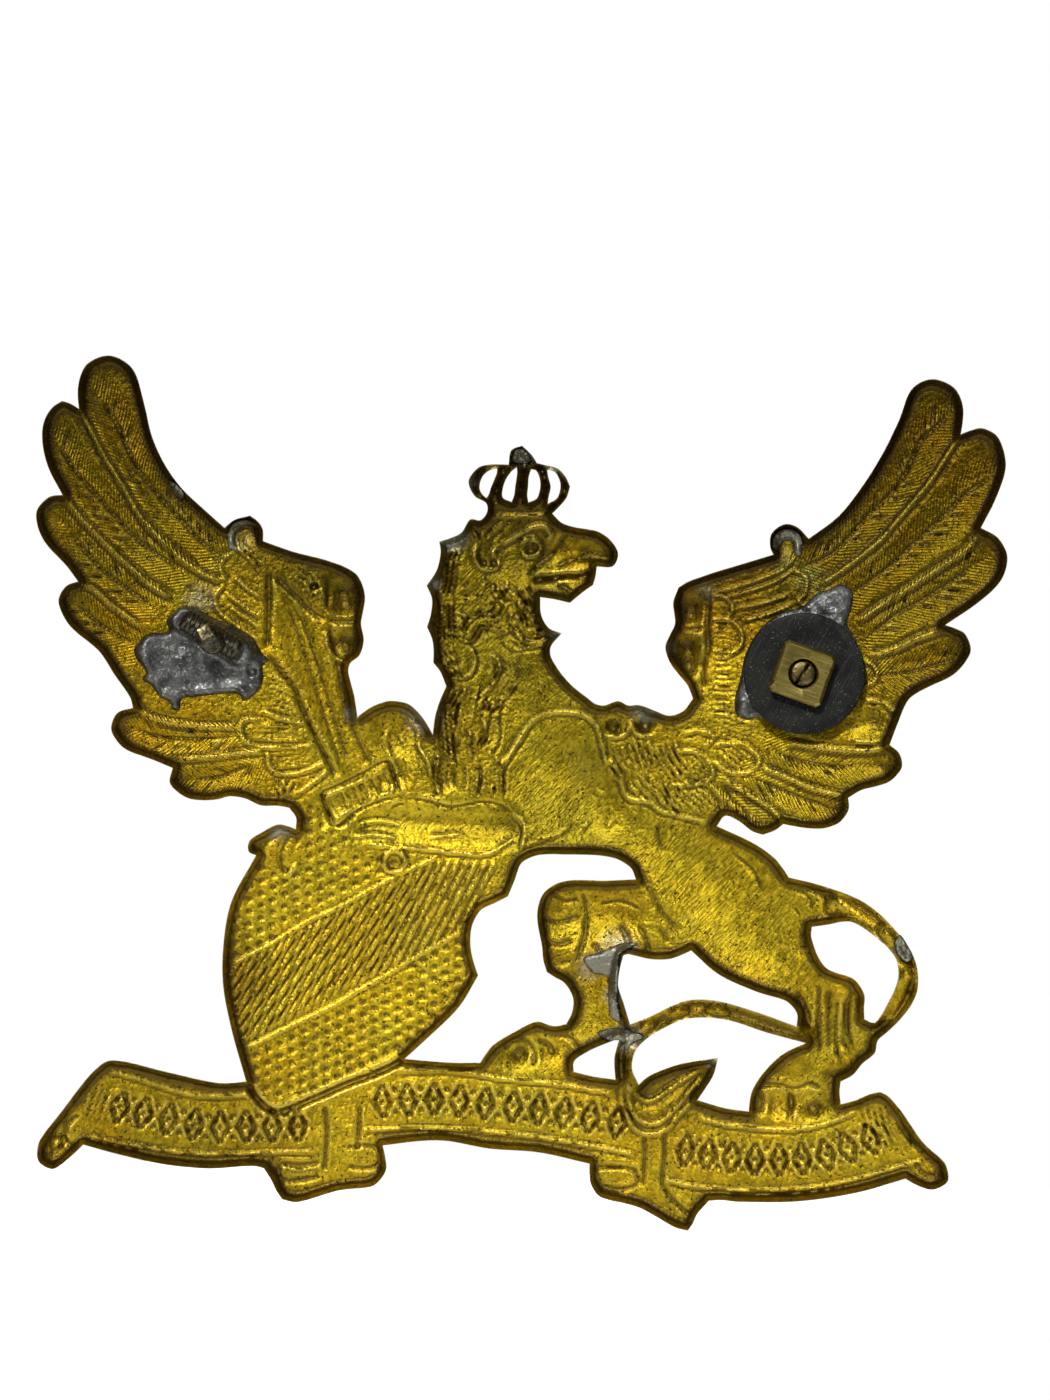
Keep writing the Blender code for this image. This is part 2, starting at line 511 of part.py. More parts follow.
def build_left_stud(surface):
    """The bar in its solder pool and the broken stub that leans on it."""
    bar_start = (*BAR_ENDS[0], BAR_HEIGHT)
    bar_end = (*BAR_ENDS[1], BAR_HEIGHT)
    along = (Vector(bar_end) - Vector(bar_start)).normalized()
    round_bar("left_cross_bar", "stud_brass", [(bar_start, BAR_RADIUS), (bar_end, BAR_RADIUS)], 20)
    pool = solder_mound("left_solder_pool", LEFT_POOL, surface, POOL_EDGE, LEFT_POOL_RISE)
    trough = round_bar("bar_trough", "solder", [(tuple(Vector(bar_start) - GAP * along), BAR_RADIUS + GAP),
                                                (tuple(Vector(bar_end) + GAP * along), BAR_RADIUS + GAP)], 20)
    cut(pool, trough)
    lean = (Vector(STUB_TOP) - Vector(STUB_BASE)).normalized()
    nipped_radius, taper = STUB_NIPPED
    shoulder = Vector(STUB_TOP) - taper * lean
    round_bar("left_stud_stub", "stud_brass",
              [(STUB_BASE, STUB_RADIUS), (tuple(shoulder), STUB_RADIUS), (STUB_TOP, nipped_radius)], 20)


def nut_outline():
    """The square nut's outline with its corners clipped, about the post's axis."""
    half = NUT_ACROSS_FLATS / 2
    near = half - NUT_CORNER_CUT
    quarter = [(half, -near), (half, near)]
    slope = math.radians(NUT_SLOPE)
    outline = []
    for side in range(4):
        turn = slope + side * math.pi / 2
        for u, v in quarter:
            outline.append((POST_CENTRE[0] + u * math.cos(turn) - v * math.sin(turn),
                            POST_CENTRE[1] + u * math.sin(turn) + v * math.cos(turn)))
    return outline


def slotted_post():
    """The threaded post, slotted across its free end for a screwdriver."""
    width, depth, slope = POST_SLOT
    low = (*POST_CENTRE, BASE_FACES[1] + GAP)
    high = (*POST_CENTRE, POST_END)
    post = round_bar("right_threaded_post", "stud_brass", [(low, POST_RADIUS), (high, POST_RADIUS)], 24)
    turn = math.radians(slope)
    reach = 2 * POST_RADIUS
    corners = []
    for along, across in ((-reach, -width / 2), (reach, -width / 2), (reach, width / 2), (-reach, width / 2)):
        corners.append((POST_CENTRE[0] + along * math.cos(turn) - across * math.sin(turn),
                        POST_CENTRE[1] + along * math.sin(turn) + across * math.cos(turn)))
    blade = solid_over_region("slot_blade", "stud_brass", [corners], [], level(POST_END + 1.0),
                              level(POST_END - depth))
    cut(post, blade)


def build_right_stud(surface):
    """The boss, its solder, the slotted post, the washer and the nut."""
    boss_hole = circle(POST_CENTRE, BASE_RADIUS + GAP, 28)
    solder_mound("right_solder_pool", RIGHT_POOL, surface, POOL_EDGE, RIGHT_POOL_RISE, [boss_hole])
    boss = [circle(POST_CENTRE, BASE_RADIUS, 28)]
    solid_over_region("right_stud_base", "stud_brass", boss, [], level(BASE_FACES[1]), level(BASE_FACES[0]))
    slotted_post()
    axis = world(*POST_CENTRE, 0.0)
    washer = [circle(WASHER_CENTRE, WASHER_RADII[1], 48), circle(WASHER_CENTRE, WASHER_RADII[0], 28)]
    solid_over_region("right_washer", "washer", washer, [], level(WASHER_FACES[1]), level(WASHER_FACES[0]), axis)
    nut = [nut_outline(), circle(POST_CENTRE, BORE_RADIUS, 24)]
    solid_over_region("right_square_nut", "nut_brass", nut, [], level(NUT_FACES[1]), level(NUT_FACES[0]), axis)


def main():
    for obj in list(bpy.data.objects):
        bpy.data.objects.remove(obj, do_unlink=True)
    plate = build_plate()
    surface = plate_surface(plate)
    build_left_stud(surface)
    build_right_stud(surface)
    for name, outline in SOLDER_PATCHES.items():
        solder_mound(name, outline, surface, 0.5 * PATCH_THICKNESS, 0.5 * PATCH_THICKNESS, step=0.8)


main()
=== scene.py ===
"""Looks of the cap badge: the hollow back of a die-struck brass griffin plate with its soldered studs.

Plan points are (u, v) in millimetres as seen from behind the badge: u to the right (x = -u), v up (z = v).
Heights are millimetres towards the cap (+y).
"""

import json
import math

import bmesh
import bpy
import numpy as np
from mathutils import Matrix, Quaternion, Vector, geometry, noise
from mathutils.kdtree import KDTree


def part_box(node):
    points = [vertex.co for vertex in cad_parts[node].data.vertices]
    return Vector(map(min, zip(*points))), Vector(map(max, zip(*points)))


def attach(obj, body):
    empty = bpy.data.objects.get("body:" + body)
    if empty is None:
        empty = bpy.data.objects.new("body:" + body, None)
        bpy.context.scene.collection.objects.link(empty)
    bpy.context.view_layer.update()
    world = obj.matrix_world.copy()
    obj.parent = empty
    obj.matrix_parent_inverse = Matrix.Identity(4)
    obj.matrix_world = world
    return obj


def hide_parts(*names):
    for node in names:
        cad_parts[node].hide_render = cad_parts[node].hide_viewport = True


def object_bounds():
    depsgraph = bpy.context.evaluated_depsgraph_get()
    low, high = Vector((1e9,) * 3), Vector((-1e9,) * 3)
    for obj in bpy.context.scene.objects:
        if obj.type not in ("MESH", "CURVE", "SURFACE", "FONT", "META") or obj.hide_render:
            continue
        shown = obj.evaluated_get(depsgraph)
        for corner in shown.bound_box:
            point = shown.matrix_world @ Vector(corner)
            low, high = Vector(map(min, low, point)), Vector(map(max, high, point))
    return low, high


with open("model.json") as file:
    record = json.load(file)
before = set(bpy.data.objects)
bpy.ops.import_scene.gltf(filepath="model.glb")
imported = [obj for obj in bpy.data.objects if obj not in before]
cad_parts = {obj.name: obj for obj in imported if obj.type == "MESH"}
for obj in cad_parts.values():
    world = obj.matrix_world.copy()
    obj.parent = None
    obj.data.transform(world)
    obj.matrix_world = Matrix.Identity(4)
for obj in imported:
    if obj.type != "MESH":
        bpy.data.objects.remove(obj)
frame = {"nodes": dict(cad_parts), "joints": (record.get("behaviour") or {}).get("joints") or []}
CAD_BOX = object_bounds()

MM = 0.001

# millimetres, where no comment says otherwise
SHEET = 0.6             # thickness of the brass sheet
BOW_RADIUS = 380.0      # the rim curves towards the cap at both sides
RELIEF = 1.7            # depth of the hollow behind its walls
WALL = 0.9              # width of the wall inside the rim
RIM_FADE = 0.6          # the fine relief fades out this close to the rims
RIM_STEP = 0.3          # spacing of the points round the rims
BACK_STEP = 0.332       # and over the back
FRONT_STEP = 0.58       # and over the front
GRID_MARGIN = 0.45      # share of a step that the grids keep away from the rims
FRONT_FINEST = 0.36     # no line on the front has a smaller half width
LINE_WIDTH = 0.8        # share taken of each listed line's half width
LINE_HEIGHT = 0.66      # and of its height
HAIR_HEIGHT = 0.28
FEATHERING_HEIGHT = 0.13
BARB_REACH = 2.9        # a feather's barbs spread this far on each side of its quill
CORNER_TURN = 38        # degrees that a rim turns at a real corner, at least
CORNER_RATIO = 1.9      # and how many times more it turns there than next to it
FAINT_RIM_SHADE_ZONE = ((8, -38), (46, -42), 24.0)    # from, to, reach: the painted shading by the rims is fainter here
SHOULDER_PIT = (-24.6, 8.7)
PUPIL = (2.3, 14.4)
RANDOM = np.random.default_rng(11)

# metres
THREAD_PITCH = 0.0006
THREAD_STEP = THREAD_PITCH / 8
POST_THREAD = 0.00016
BAR_THREAD = 0.0001     # shallower, as solder fills it
STUB_THREAD = 0.00014
NUT_THREAD = 0.00014
BAR_SIDES = 48
WASHER_EDGE = 0.00018   # radius of its rounded corners
SLOT_WIDTH = 0.00042
SLOT_DEPTH = 0.0008
SLOT_TURN = math.radians(58)

# the camera and lights, in metres; a light has a name, a place, a size and a power in watts
CAMERA_DISTANCE = 0.95
CAMERA_VIEW = 0.1735    # height of what it sees at the badge
CAMERA_AIM = (-0.0020, 0.0, -0.0046)
CAMERA_ROLL = math.radians(1.7)
SENSOR = 36.0           # millimetres
LIGHT_AIM = (0, 0, -0.015)
LIGHTS = [
    ("key", (0.14, 0.8, 0.38), 0.06, 4.7),
    ("front", (0.2, -0.8, 0.4), 0.4, 5.0),
    ("side", (-0.45, 0.7, 0.15), 0.3, 0.35),
]
FLOOR_REACH = 0.13
FLOOR_GAP = 0.0015      # between the scroll and the floor

# ---- rounded forms: from, to, radius, extra depth -------------------------------------------------
FORMS = [
    ((-1, 14), (3, 13), 6.0, 0.8), ((5, 14), (11, 14), 3.0, 0.5), ((-3, 8), (1, -6), 6.5, 0.6),
    ((6, -13), (9, -15), 8.5, 1.0), ((12, -19), (24, -24), 7.0, 0.7), ((27, -28), (32, -33), 9.0, 1.1),
    ((38, -40), (41, -47), 4.0, 0.6), ((36, -52), (40, -52), 5.0, 0.5),
    ((30.8, -53.4), (31.6, -53.8), 1.9, 0.35), ((34.4, -53.6), (34.6, -54.2), 1.9, 0.35),
    ((37.6, -53.4), (38.6, -54.0), 2.2, 0.35), ((32.6, -50.2), (34.8, -49.6), 2.2, 0.3),
    ((1.6, -48.6), (2.2, -48.8), 2.6, 0.35), ((8, -31), (14, -31), 5.0, 0.8),
    ((11, -39), (11, -44), 3.5, 0.5), ((3, -48), (7, -47), 4.0, 0.5), ((-17, -20), (0, -20.5), 3.4, 0.8),
    ((-27, 4), (-19, -14), 3.0, 0.5), ((-22, -19), (-14, -14.5), 2.5, 0.5),
    ((-14, -10), (-13, -9), 5.0, 0.5), ((-22, -35), (-16, -42), 18.0, 0.6),
    ((-20.9, 8), (-20.9, 7), 2.6, 1.0), ((-20.7, 1.9), (-20.7, 1.6), 2.2, 0.9),
    ((22.2, 7.4), (22.2, 6.8), 2.4, 0.9), ((22.0, 2.6), (22.2, 0.4), 2.2, 0.9),
    ((-33.4, 15.2), (-33, 15), 2.5, 0.5), ((33.7, 16), (33.6, 15.8), 2.5, 0.5),
    ((-51, 33), (-43, 18), 4.5, 0.4), ((-56, 26), (-46, 13), 4.0, 0.4), ((-56, 15), (-47, 7.5), 4.0, 0.4),
    ((-53, 5), (-48, 1.5), 3.5, 0.4), ((52, 33), (44, 19), 4.5, 0.4), ((58, 26), (48, 14), 4.0, 0.4),
    ((58, 14), (48, 8), 4.0, 0.4), ((54, 2.5), (48, 1), 3.5, 0.4), ((-47, -10), (-38, -10.5), 2.2, 0.5),
    ((-39, -16), (-33, -14.5), 2.0, 0.5), ((46, -11.5), (36, -10.8), 2.2, 0.5),
    ((40, -17), (33, -14.6), 2.0, 0.5), ((32, -18.4), (28, -15), 1.6, 0.4),
    ((45, -6), (43, -6.5), 2.2, 0.4), ((-54.5, -62), (-54, -61), 2.5, 0.4),
    ((19, -53), (24, -50), 2.6, 0.5), ((12.9, -7.5), (12.9, -7.4), 1.5, 0.8),
    ((17, -7.2), (17, -7.1), 1.5, 0.8), ((-7, -6), (-7.4, -15), 1.6, 0.4),
    ((2.2, 14.3), (2.4, 14.3), 1.0, 0.5), ((-3.7, 12.4), (-3.7, 12.3), 0.7, 0.5),
    ((-2.4, 12.4), (-2.4, 12.3), 0.6, 0.4), ((36.2, -53.6), (36.3, -53.2), 1.7, 0.5),
    ((39.4, -54), (39.6, -53.8), 1.9, 0.5), ((42, -51), (41.6, -50), 1.8, 0.4),
    ((2.4, -48.6), (2.8, -48.2), 1.5, 0.4), ((5.8, -48), (6.4, -48), 1.5, 0.4),
    ((40.6, -40), (40.8, -46), 1.1, 0.4), ((42.8, -41), (42.8, -46), 1.0, 0.4),
    ((41.6, -28.6), (47.6, -32.2), 2.2, -1.2), ((47.6, -32.2), (50, -37), 2.2, -1.2),
    ((50, -37), (48.2, -42.4), 2.0, -1.2), ((16.4, -46.6), (18.2, -44.4), 2.0, -1.2),
    ((18.2, -44.4), (22, -42.5), 2.0, -1.2), ((22, -42.5), (27, -42.2), 2.0, -1.2),
    ((27, -42.2), (37.6, -45), 2.0, -1.2), ((16.2, -48), (16.6, -52), 1.8, -1.2),
    ((9, 14), (13, 12.6), 1.6, 0.3), ((6.6, 9.9), (9, 10), 1.0, 0.3),
]

# ---- flight feathers: sunk quills, raised seams between neighbours ---------------------------------
QUILLS = [
    [(-51.5, 31), (-49.4, 27.8), (-48.1, 25), (-46.5, 22.2), (-44.2, 19.5), (-41.5, 16.7), (-38.4, 13.6),
     (-36.2, 12.1)],
    [(-56.5, 25.4), (-54.8, 22.5), (-51.5, 18.9), (-48.7, 15.9), (-46.2, 13.6), (-41, 10.2)],
    [(-55, 14.5), (-52.9, 12.2), (-50.4, 9.7), (-47.6, 7.8), (-44.8, 5.6)],
    [(-53.6, 5.6), (-51.7, 3.9), (-49.5, 2.5), (-46.7, 0.9)],
    [(-45.5, -9.8), (-43, -10.4), (-39.8, -10.6), (-33.4, -10.2)],
    [(-38.6, -15.6), (-35.6, -15.2), (-31.5, -13.4)],
    [(53.6, 32.5), (51.1, 30), (50, 28.9), (48.3, 25), (46.4, 22.2), (44.2, 20), (41.7, 17), (39.5, 14.7),
     (35.9, 12.8)],
    [(58.9, 24.7), (56.1, 22.8), (53.9, 20.6), (51.1, 17.8), (48.9, 15.6), (46.4, 13.1), (44.2, 11.4),
     (42, 9.7)], [(56.7, 13.4), (53.9, 11.4), (51.1, 9.5), (47.8, 7.5), (44.5, 4.7)],
    [(55, 2), (52.2, 1.1), (49.5, 0.3), (45.6, -0.2)], [(42.8, -11.7), (37.2, -11.3), (32.8, -10)],
    [(40, -16.7), (37.2, -15.9), (33.1, -14.3), (30, -13.1)],
    [(30.6, -18.1), (28.4, -16.2), (26.7, -14.5)],
]
SEAMS = [
    [(-54.1, 29.7), (-52.9, 27.5), (-50.9, 23.9), (-48.7, 20.6), (-46.5, 17), (-43.7, 13.9),
     (-40.9, 11.4), (-37.6, 9.5), (-35.6, 8.9)],
    [(-55.9, 19), (-54, 16.7), (-51.5, 14.2), (-49.2, 12), (-46.5, 9.7), (-45.4, 8.6), (-42, 6.6)],
    [(-53.7, 8.4), (-51.7, 7.5), (-49.8, 5.9), (-47, 3.9), (-45.3, 2.8)],
    [(-46.4, -6.9), (-43.6, -8.3), (-39.2, -9), (-33.3, -9)],
    [(-41.7, -13.9), (-40, -13.2), (-36, -12.7), (-32.2, -12.1), (-30, -11.9)],
    [(54.9, 29.7), (53.6, 27.8), (52, 25), (50, 22.2), (47.8, 19.5), (45.3, 16.4), (42.8, 14.2), (40, 12),
     (37.8, 10.6)],
    [(57.7, 18), (56.1, 15.6), (53.9, 13.9), (51.1, 12), (48.3, 10), (46.1, 8.6), (44.2, 7.2),
     (42.8, 6.2)], [(53.4, 5.6), (50.6, 4.5), (47.8, 3.1), (44.5, 2)],
    [(47.3, -8.7), (45.6, -9.5), (40, -9.6), (34.5, -8.8)],
    [(42.4, -15.6), (41.1, -15.2), (37.8, -14.5), (34.5, -13.1), (31.4, -12)],
    [(34.5, -19), (32.8, -17), (30.5, -15.8), (28.3, -14.5), (26.7, -13.3)],
]

# ---- single lines ------------------------------------------------------------------------------------
# name: (half width, height, share of that height sunk along both sides, taper length, paths)
LINES = {
    "covert_edges": (0.3, 0.28, 0.55, 0.5, [
        [(-34.9, 12.2), (-35.9, 11.9), (-36.2, 10.4), (-35.4, 8.8)],
        [(-35.6, 8.6), (-36.7, 7.4), (-36.5, 5.6), (-35.3, 4.4), (-32.8, 2.8), (-31, 1.7)],
        [(-30.6, -8.1), (-32.6, -8.1), (-33.2, -9.2), (-32.6, -10.6), (-31.1, -11.3), (-27.8, -11.4),
         (-24.2, -11.1)],
        [(-29.6, -11.9), (-29.7, -13.1), (-28.9, -14.4), (-26.9, -14.7), (-24.2, -13.9), (-22.5, -13)],
        [(-30.4, -7.0), (-26.1, -8.3), (-24.9, -8.2)], [(25, 9), (26.6, 8.8), (27.4, 7.4), (26.8, 6.2)],
        [(24.7, 6), (27.2, 6), (28.6, 4.6), (28.5, 2.8), (27, 1.6)],
        [(43.9, 1.4), (45.2, 0.8), (45.4, -0.8), (43.9, -1.7)],
        [(44.0, -3.4), (45.6, -3.5), (47.2, -4.2), (47.9, -5.6), (47.5, -7.2), (46.4, -8.4),
         (42.8, -8.6)],
        [(25.5, -9.6), (27.2, -9.2), (30, -9.8), (31.3, -11.2), (30, -12.7), (27.2, -12.7),
         (25.6, -11.4)],
        [(21, -10.5), (23.4, -10.4), (25.6, -12.6), (24.9, -14), (22.4, -14.3), (20.9, -13)],
        [(20.6, -14.6), (22.4, -14.6), (24.9, -14.3), (26.8, -16.4), (26.6, -18.4)],
        [(34.8, 12.4), (36.4, 11.6), (36.2, 9.4), (35.4, 8.6), (37, 7.8)],
        [(21.8, -8.2), (23.7, -7.8), (25.6, -8.6), (24.4, -9.8)]]),
    "shoulder_creases": (0.4, -0.55, 0.0, 1.0, [
        [(-22.9, 10.2), (-22.8, 8), (-22.9, 5.9)], [(-22.9, 4.6), (-20.6, 4.5), (-18.7, 4.7)],
        [(24.2, 9.4), (24.4, 8), (24.3, 5.4), (24.5, 2.4), (24, 0.4), (24.2, -2.6)],
        [(20.6, 4.9), (22.2, 4.7), (24, 5.1)]]),
    "elbow_ring": (0.28, 0.3, 0.4, 0.6, [
        [(-22.9, 3.6), (-22.7, 1.8), (-21.8, 0.1), (-20.6, -0.6), (-19.6, -0.5)]]),
    "sword_edges": (0.42, -0.6, 0.0, 1.2, [
        [(-30.3, 10.6), (-30.1, 6), (-30.2, 0.6)],
        [(-30, 0.3), (-28.1, -2.2), (-26.7, -3.9), (-25.6, -6.4), (-24.2, -9.2), (-22.8, -11.7),
         (-21.1, -15)], [(-29.6, 10), (-26.9, 7.6), (-25, 5.8), (-23.2, 4.6)]]),
    "sword_far_edge": (0.6, -0.5, 0.0, 1.5, [
        [(-22.8, 4.2), (-21.8, 1), (-21, -2.4), (-20.5, -5.6), (-19.6, -8.4), (-18.2, -11), (-17, -13.7)]]),
    "sword_ribs": (0.3, -0.26, 0.0, 2.0, [
        [(-28.9, 8.3), (-27.2, 5), (-25.6, 0.6), (-23.9, -3.9), (-22.2, -8.9), (-20.6, -13.3)],
        [(-28.0, 7.6), (-26.2, 4.6), (-24.5, 0.6), (-22.9, -3.9), (-21.2, -8.9), (-19.6, -13.2)]]),
    "guard_box": (0.3, -0.5, 0.0, 0.1, [
        [(-23.05, -16.9), (-18.9, -14.9), (-14.7, -12.75), (-13.9, -14.7), (-13.1, -16.6)],
        [(-23.05, -16.9), (-22.1, -18.9), (-21.1, -20.9), (-18.6, -19.5)]]),
    "guard_inner": (0.22, 0.3, 0.4, 0.1, [
        [(-22.5, -17.3), (-18.8, -15.6), (-14.9, -13.7)], [(-21.2, -19.9), (-17.6, -18.2), (-14, -16.3)],
        [(-22.5, -17.3), (-21.2, -19.9)], [(-14.9, -13.7), (-14, -16.3)],
        [(-20.2, -16.3), (-19.3, -18.8)], [(-18.7, -15.6), (-17.8, -18.1)],
        [(-17.6, -15), (-16.7, -17.6)], [(-16.5, -14.5), (-15.5, -17)]]),
    "shield_lines": (0.28, 0.34, 0.35, 0.6, [
        [(-26.4, -17.5), (-24.2, -15.8), (-22.2, -14.2)],
        [(-8.4, -24.5), (-10, -25.3), (-13.3, -26.9), (-16.7, -28.9), (-20.6, -31.2), (-23.6, -32.6),
         (-26.4, -34.4), (-33, -38.3)],
        [(-5, -33.6), (-6.9, -34.7), (-10.6, -36.9), (-14.4, -39.4), (-17.8, -41.4), (-20.8, -43.3),
         (-26.4, -46.2), (-31, -48.7)], [(-26.9, -27.6), (-25.6, -25.6)]]),
    "claw_lines": (0.34, -0.36, 0.0, 1.0, [
        [(-26.7, -22.2), (-27.6, -24.2), (-27.6, -25.8), (-26.9, -27.2)],
        [(-28, -22.2), (-29.5, -23.3), (-30, -24.6)], [(-25.4, -21.8), (-25.9, -23.6)]]),
    "forearm": (0.34, -0.42, 0.0, 1.0, [
        [(-20.8, -21), (-18.3, -18.9), (-15.3, -17.6), (-12, -17), (-7, -18.1), (-2.8, -17.4),
         (-0.4, -17.8), (0.8, -18.8)], [(-12.2, -17.8), (-13.6, -18.1), (-14.4, -18.8)]]),
    "forearm_under": (0.3, 0.32, 0.4, 1.0, [
        [(-17, -23), (-14.2, -23.3), (-10, -23.4), (-6, -23.8), (-2, -23.8), (1.3, -21.7)],
        [(0.5, -18.3), (2.2, -20), (2.4, -21.4), (1.9, -23.6)], [(-9.5, -22), (-5, -21.4)],
        [(-18.6, -20.8), (-15.6, -20.2), (-12.6, -20.6)],
        [(-18.8, -22.2), (-16.2, -21.8), (-13.2, -22.2)]]),
    "fan_edge": (0.3, 0.3, 0.4, 0.6, [
        [(-14.9, -8.7), (-15.2, -10.4), (-14.5, -12), (-12.9, -16.9)],
        [(-12.5, -7.2), (-11.2, -8.6), (-11, -10.8), (-9.8, -12.6), (-9.4, -14.6)],
        [(-13, -16.9), (-10.4, -17), (-7.4, -17.5)]]),
    "mouth": (0.42, -1.0, 0.0, 0.8, [
        [(2.4, 10.2), (3.4, 10.4), (5, 10.6), (6.9, 10.9), (8.6, 10.9), (10.4, 11.8)]]),
    "jaw": (0.34, -0.5, 0.0, 1.0, [
        [(5.4, 10.1), (6.9, 9.2), (8.0, 8.9), (9.4, 9.4)],
        [(2.2, 10.8), (3, 12.2), (4.7, 13.6), (5.8, 15.2), (6.6, 16.6)],
        [(5.2, 12), (7.4, 13), (10, 13.4)]]),
    "brow": (0.36, 0.45, 0.5, 0.8, [
        [(-1.6, 14.6), (0.3, 15.6), (2.2, 16.8), (3.8, 17), (4.6, 16), (4.1, 15.2)],
        [(0.7, 14.6), (1.4, 15.3), (2.6, 15.3), (3.4, 14.6), (3, 13.6), (1.8, 13.2), (0.9, 13.8)],
        [(-1.7, 14.4), (-2.6, 13.6), (-1.9, 13)],
        [(-4.4, 14.6), (-4.8, 13.2), (-3.6, 11.6), (-2, 11.8), (-1.8, 12.9)]]),
    "ear": (0.3, -0.5, 0.0, 0.8, [
        [(-0.2, 18.2), (-1.4, 16.6), (-2.9, 14.9)], [(-1.4, 18.1), (-2.7, 16.7), (-3.6, 15.2)],
        [(-3.6, 17.2), (-4.4, 15.8), (-4.6, 15)]]),
    "crown_band": (0.22, 0.3, 0.4, 0.3, [
        [(-3.2, 19.5), (0.6, 19.6), (4.4, 19.5)], [(-3.3, 18.1), (0.6, 18.1), (4.5, 18.6)]]),
    "breast": (0.32, 0.34, 0.5, 1.5, [
        [(-0.6, -17), (-0.6, -13), (0.2, -11.7), (1.6, -9.4), (3, -7.2), (4.9, -6.2), (7.4, -6),
         (9.7, -6.4), (11.1, -7.8), (11.8, -10), (12.4, -11.7), (13.8, -12.8), (14.4, -15), (15.2, -16.4),
         (18, -16.9), (19.1, -17.8), (21.3, -18.3), (25.2, -19.2)],
        [(12.1, -8.9), (14.6, -8.5), (15.2, -7), (16, -8.4), (18.2, -8.6)]]),
    "ripples": (0.3, 0.24, 0.4, 1.0, [
        [(4, -22), (7.2, -20.8), (8.3, -19.4)], [(9, -21), (10.8, -18.9)], [(12.4, -20.6), (13.4, -18.8)],
        [(2, -22.9), (4, -22.2)], [(10.6, -15.4), (12.6, -16.2)]]),
    "haunch_lines": (0.45, -0.35, 0.0, 2.0, [
        [(19.9, -23.4), (18.9, -21), (19.3, -18.9)],
        [(16.7, -25), (18.1, -27.2), (19.2, -29.4), (20.8, -31.4), (22.8, -33.1)],
        [(28, -22.5), (31, -25), (32.4, -28)]]),
    "far_thigh": (0.36, -0.34, 0.3, 0.6, [
        [(6.2, -28.6), (8, -29.4), (9.4, -29)], [(5, -31.2), (6.6, -32), (8.4, -31.6), (9.6, -31.2)],
        [(5.4, -34.2), (7, -34.8), (8.8, -34.2)], [(7.2, -37.2), (8.6, -36.8)],
        [(9.9, -28.2), (10.4, -31), (10.2, -34), (9.2, -37)], [(14.5, -32), (15.6, -33.8), (15.8, -35.4)],
        [(16.8, -32), (18, -34), (18.2, -35.6)], [(19.4, -32.4), (20.8, -34.2)],
        [(12, -29.6), (14.6, -29.2), (17, -30)], [(11.4, -34.4), (12.6, -36.2)]]),
    "feet": (0.4, -0.4, 0.3, 0.8, [
        [(0.8, -48.2), (1.6, -47), (3.6, -47), (4.5, -48.6), (4.2, -50.2)],
        [(4.6, -46.6), (6.2, -47.2), (6.8, -48.6)], [(7.4, -46), (9, -46.4), (10, -47.8)],
        [(32.7, -52.0), (33.0, -53.6), (32.7, -55.2)], [(36.2, -52.0), (36.5, -53.8), (36.2, -55.8)],
        [(30.2, -52.2), (32.6, -51.6), (34.6, -51.3), (36.8, -51.7), (38.8, -51.1), (40.2, -51.6)]]),
    "shank_folds": (0.36, -0.42, 0.3, 1.5, [
        [(41.7, -40), (41.7, -46), (42.2, -48.3)], [(43.3, -39.2), (43, -43.3), (43.9, -46.7)],
        [(39.4, -38.6), (39.6, -43), (40, -47.4)], [(36.6, -39.4), (38, -42.2), (38.4, -45)]]),
    "tail_root": (0.28, -0.3, 0.3, 0.5, [
        [(36.2, -27.2), (37.8, -27.8), (38.4, -29.6)], [(37.4, -26.9), (39.6, -27.8), (40, -30)],
        [(36, -29.2), (37, -30.4)], [(38.8, -26.8), (41, -28.0), (41.4, -29.8)]]),
    "leaf": (0.34, 0.36, 0.4, 1.0, [
        [(15.1, -51.9), (15.3, -53), (16.1, -55.7), (17.8, -57.8), (19.4, -58), (21.1, -57.3),
         (22.2, -55.9), (24.2, -53.7)],
        [(16, -52.8), (17.2, -55.8), (19.4, -56.8), (21.4, -55.6), (23.6, -52.8), (26.1, -49.4)],
        [(16.7, -52.8), (18.9, -53.9), (21.1, -52.5), (23.1, -51.1), (26.1, -49.2)]]),
    "scroll_borders": (0.3, 0.34, 0.4, 0.8, [
        [(-48.1, -52), (-44.8, -52.8), (-41.4, -53.8), (-37, -54.8), (-30.6, -54.6)],
        [(-50.3, -60.2), (-46.4, -60.9), (-37, -62), (-25.9, -61.5), (-22, -61.4)],
        [(-12.2, -51.1), (-5, -51), (0.6, -51.7), (8, -52.2), (14.5, -53.2)],
        [(-16.7, -58.5), (-7, -58.1), (0.6, -58.4), (6, -58.9), (14, -60), (17.4, -60.6)],
        [(25, -55.7), (27.8, -56.4), (31.9, -56.8), (36.7, -56.8), (40.6, -56), (44.4, -54.4)],
        [(21, -63.6), (25, -64.3), (30.6, -64.6), (38.9, -64), (44.4, -62.8), (48.6, -61.4), (52.8, -60)]]),
    "scroll_ends": (0.34, -0.4, 0.3, 0.6, [
        [(-51.6, -57.4), (-53.2, -59), (-53.6, -61.2), (-55, -62.6)],
        [(-52.4, -61.6), (-53.4, -60.4), (-54.8, -60.8), (-54.6, -62.2)],
        [(51.8, -60.2), (53, -61.6), (54.4, -61.8), (54.8, -60.8)], [(49.6, -55.4), (52, -58.6)],
        [(-21.3, -55.6), (-21, -59), (-21.2, -63.8)], [(-17, -55.4), (-17.1, -59), (-17.2, -61.2)],
        [(18.4, -58.2), (18.5, -61), (18.3, -64.6)],
        [(20.9, -57.6), (20.9, -61), (20.8, -64), (22.6, -66.4), (24.9, -68.3)],
        [(-26.8, -62.9), (-26.6, -64.8), (-24.6, -65), (-21.6, -64.4)],
        [(-26.8, -62.9), (-23.6, -63), (-21.6, -62.6)],
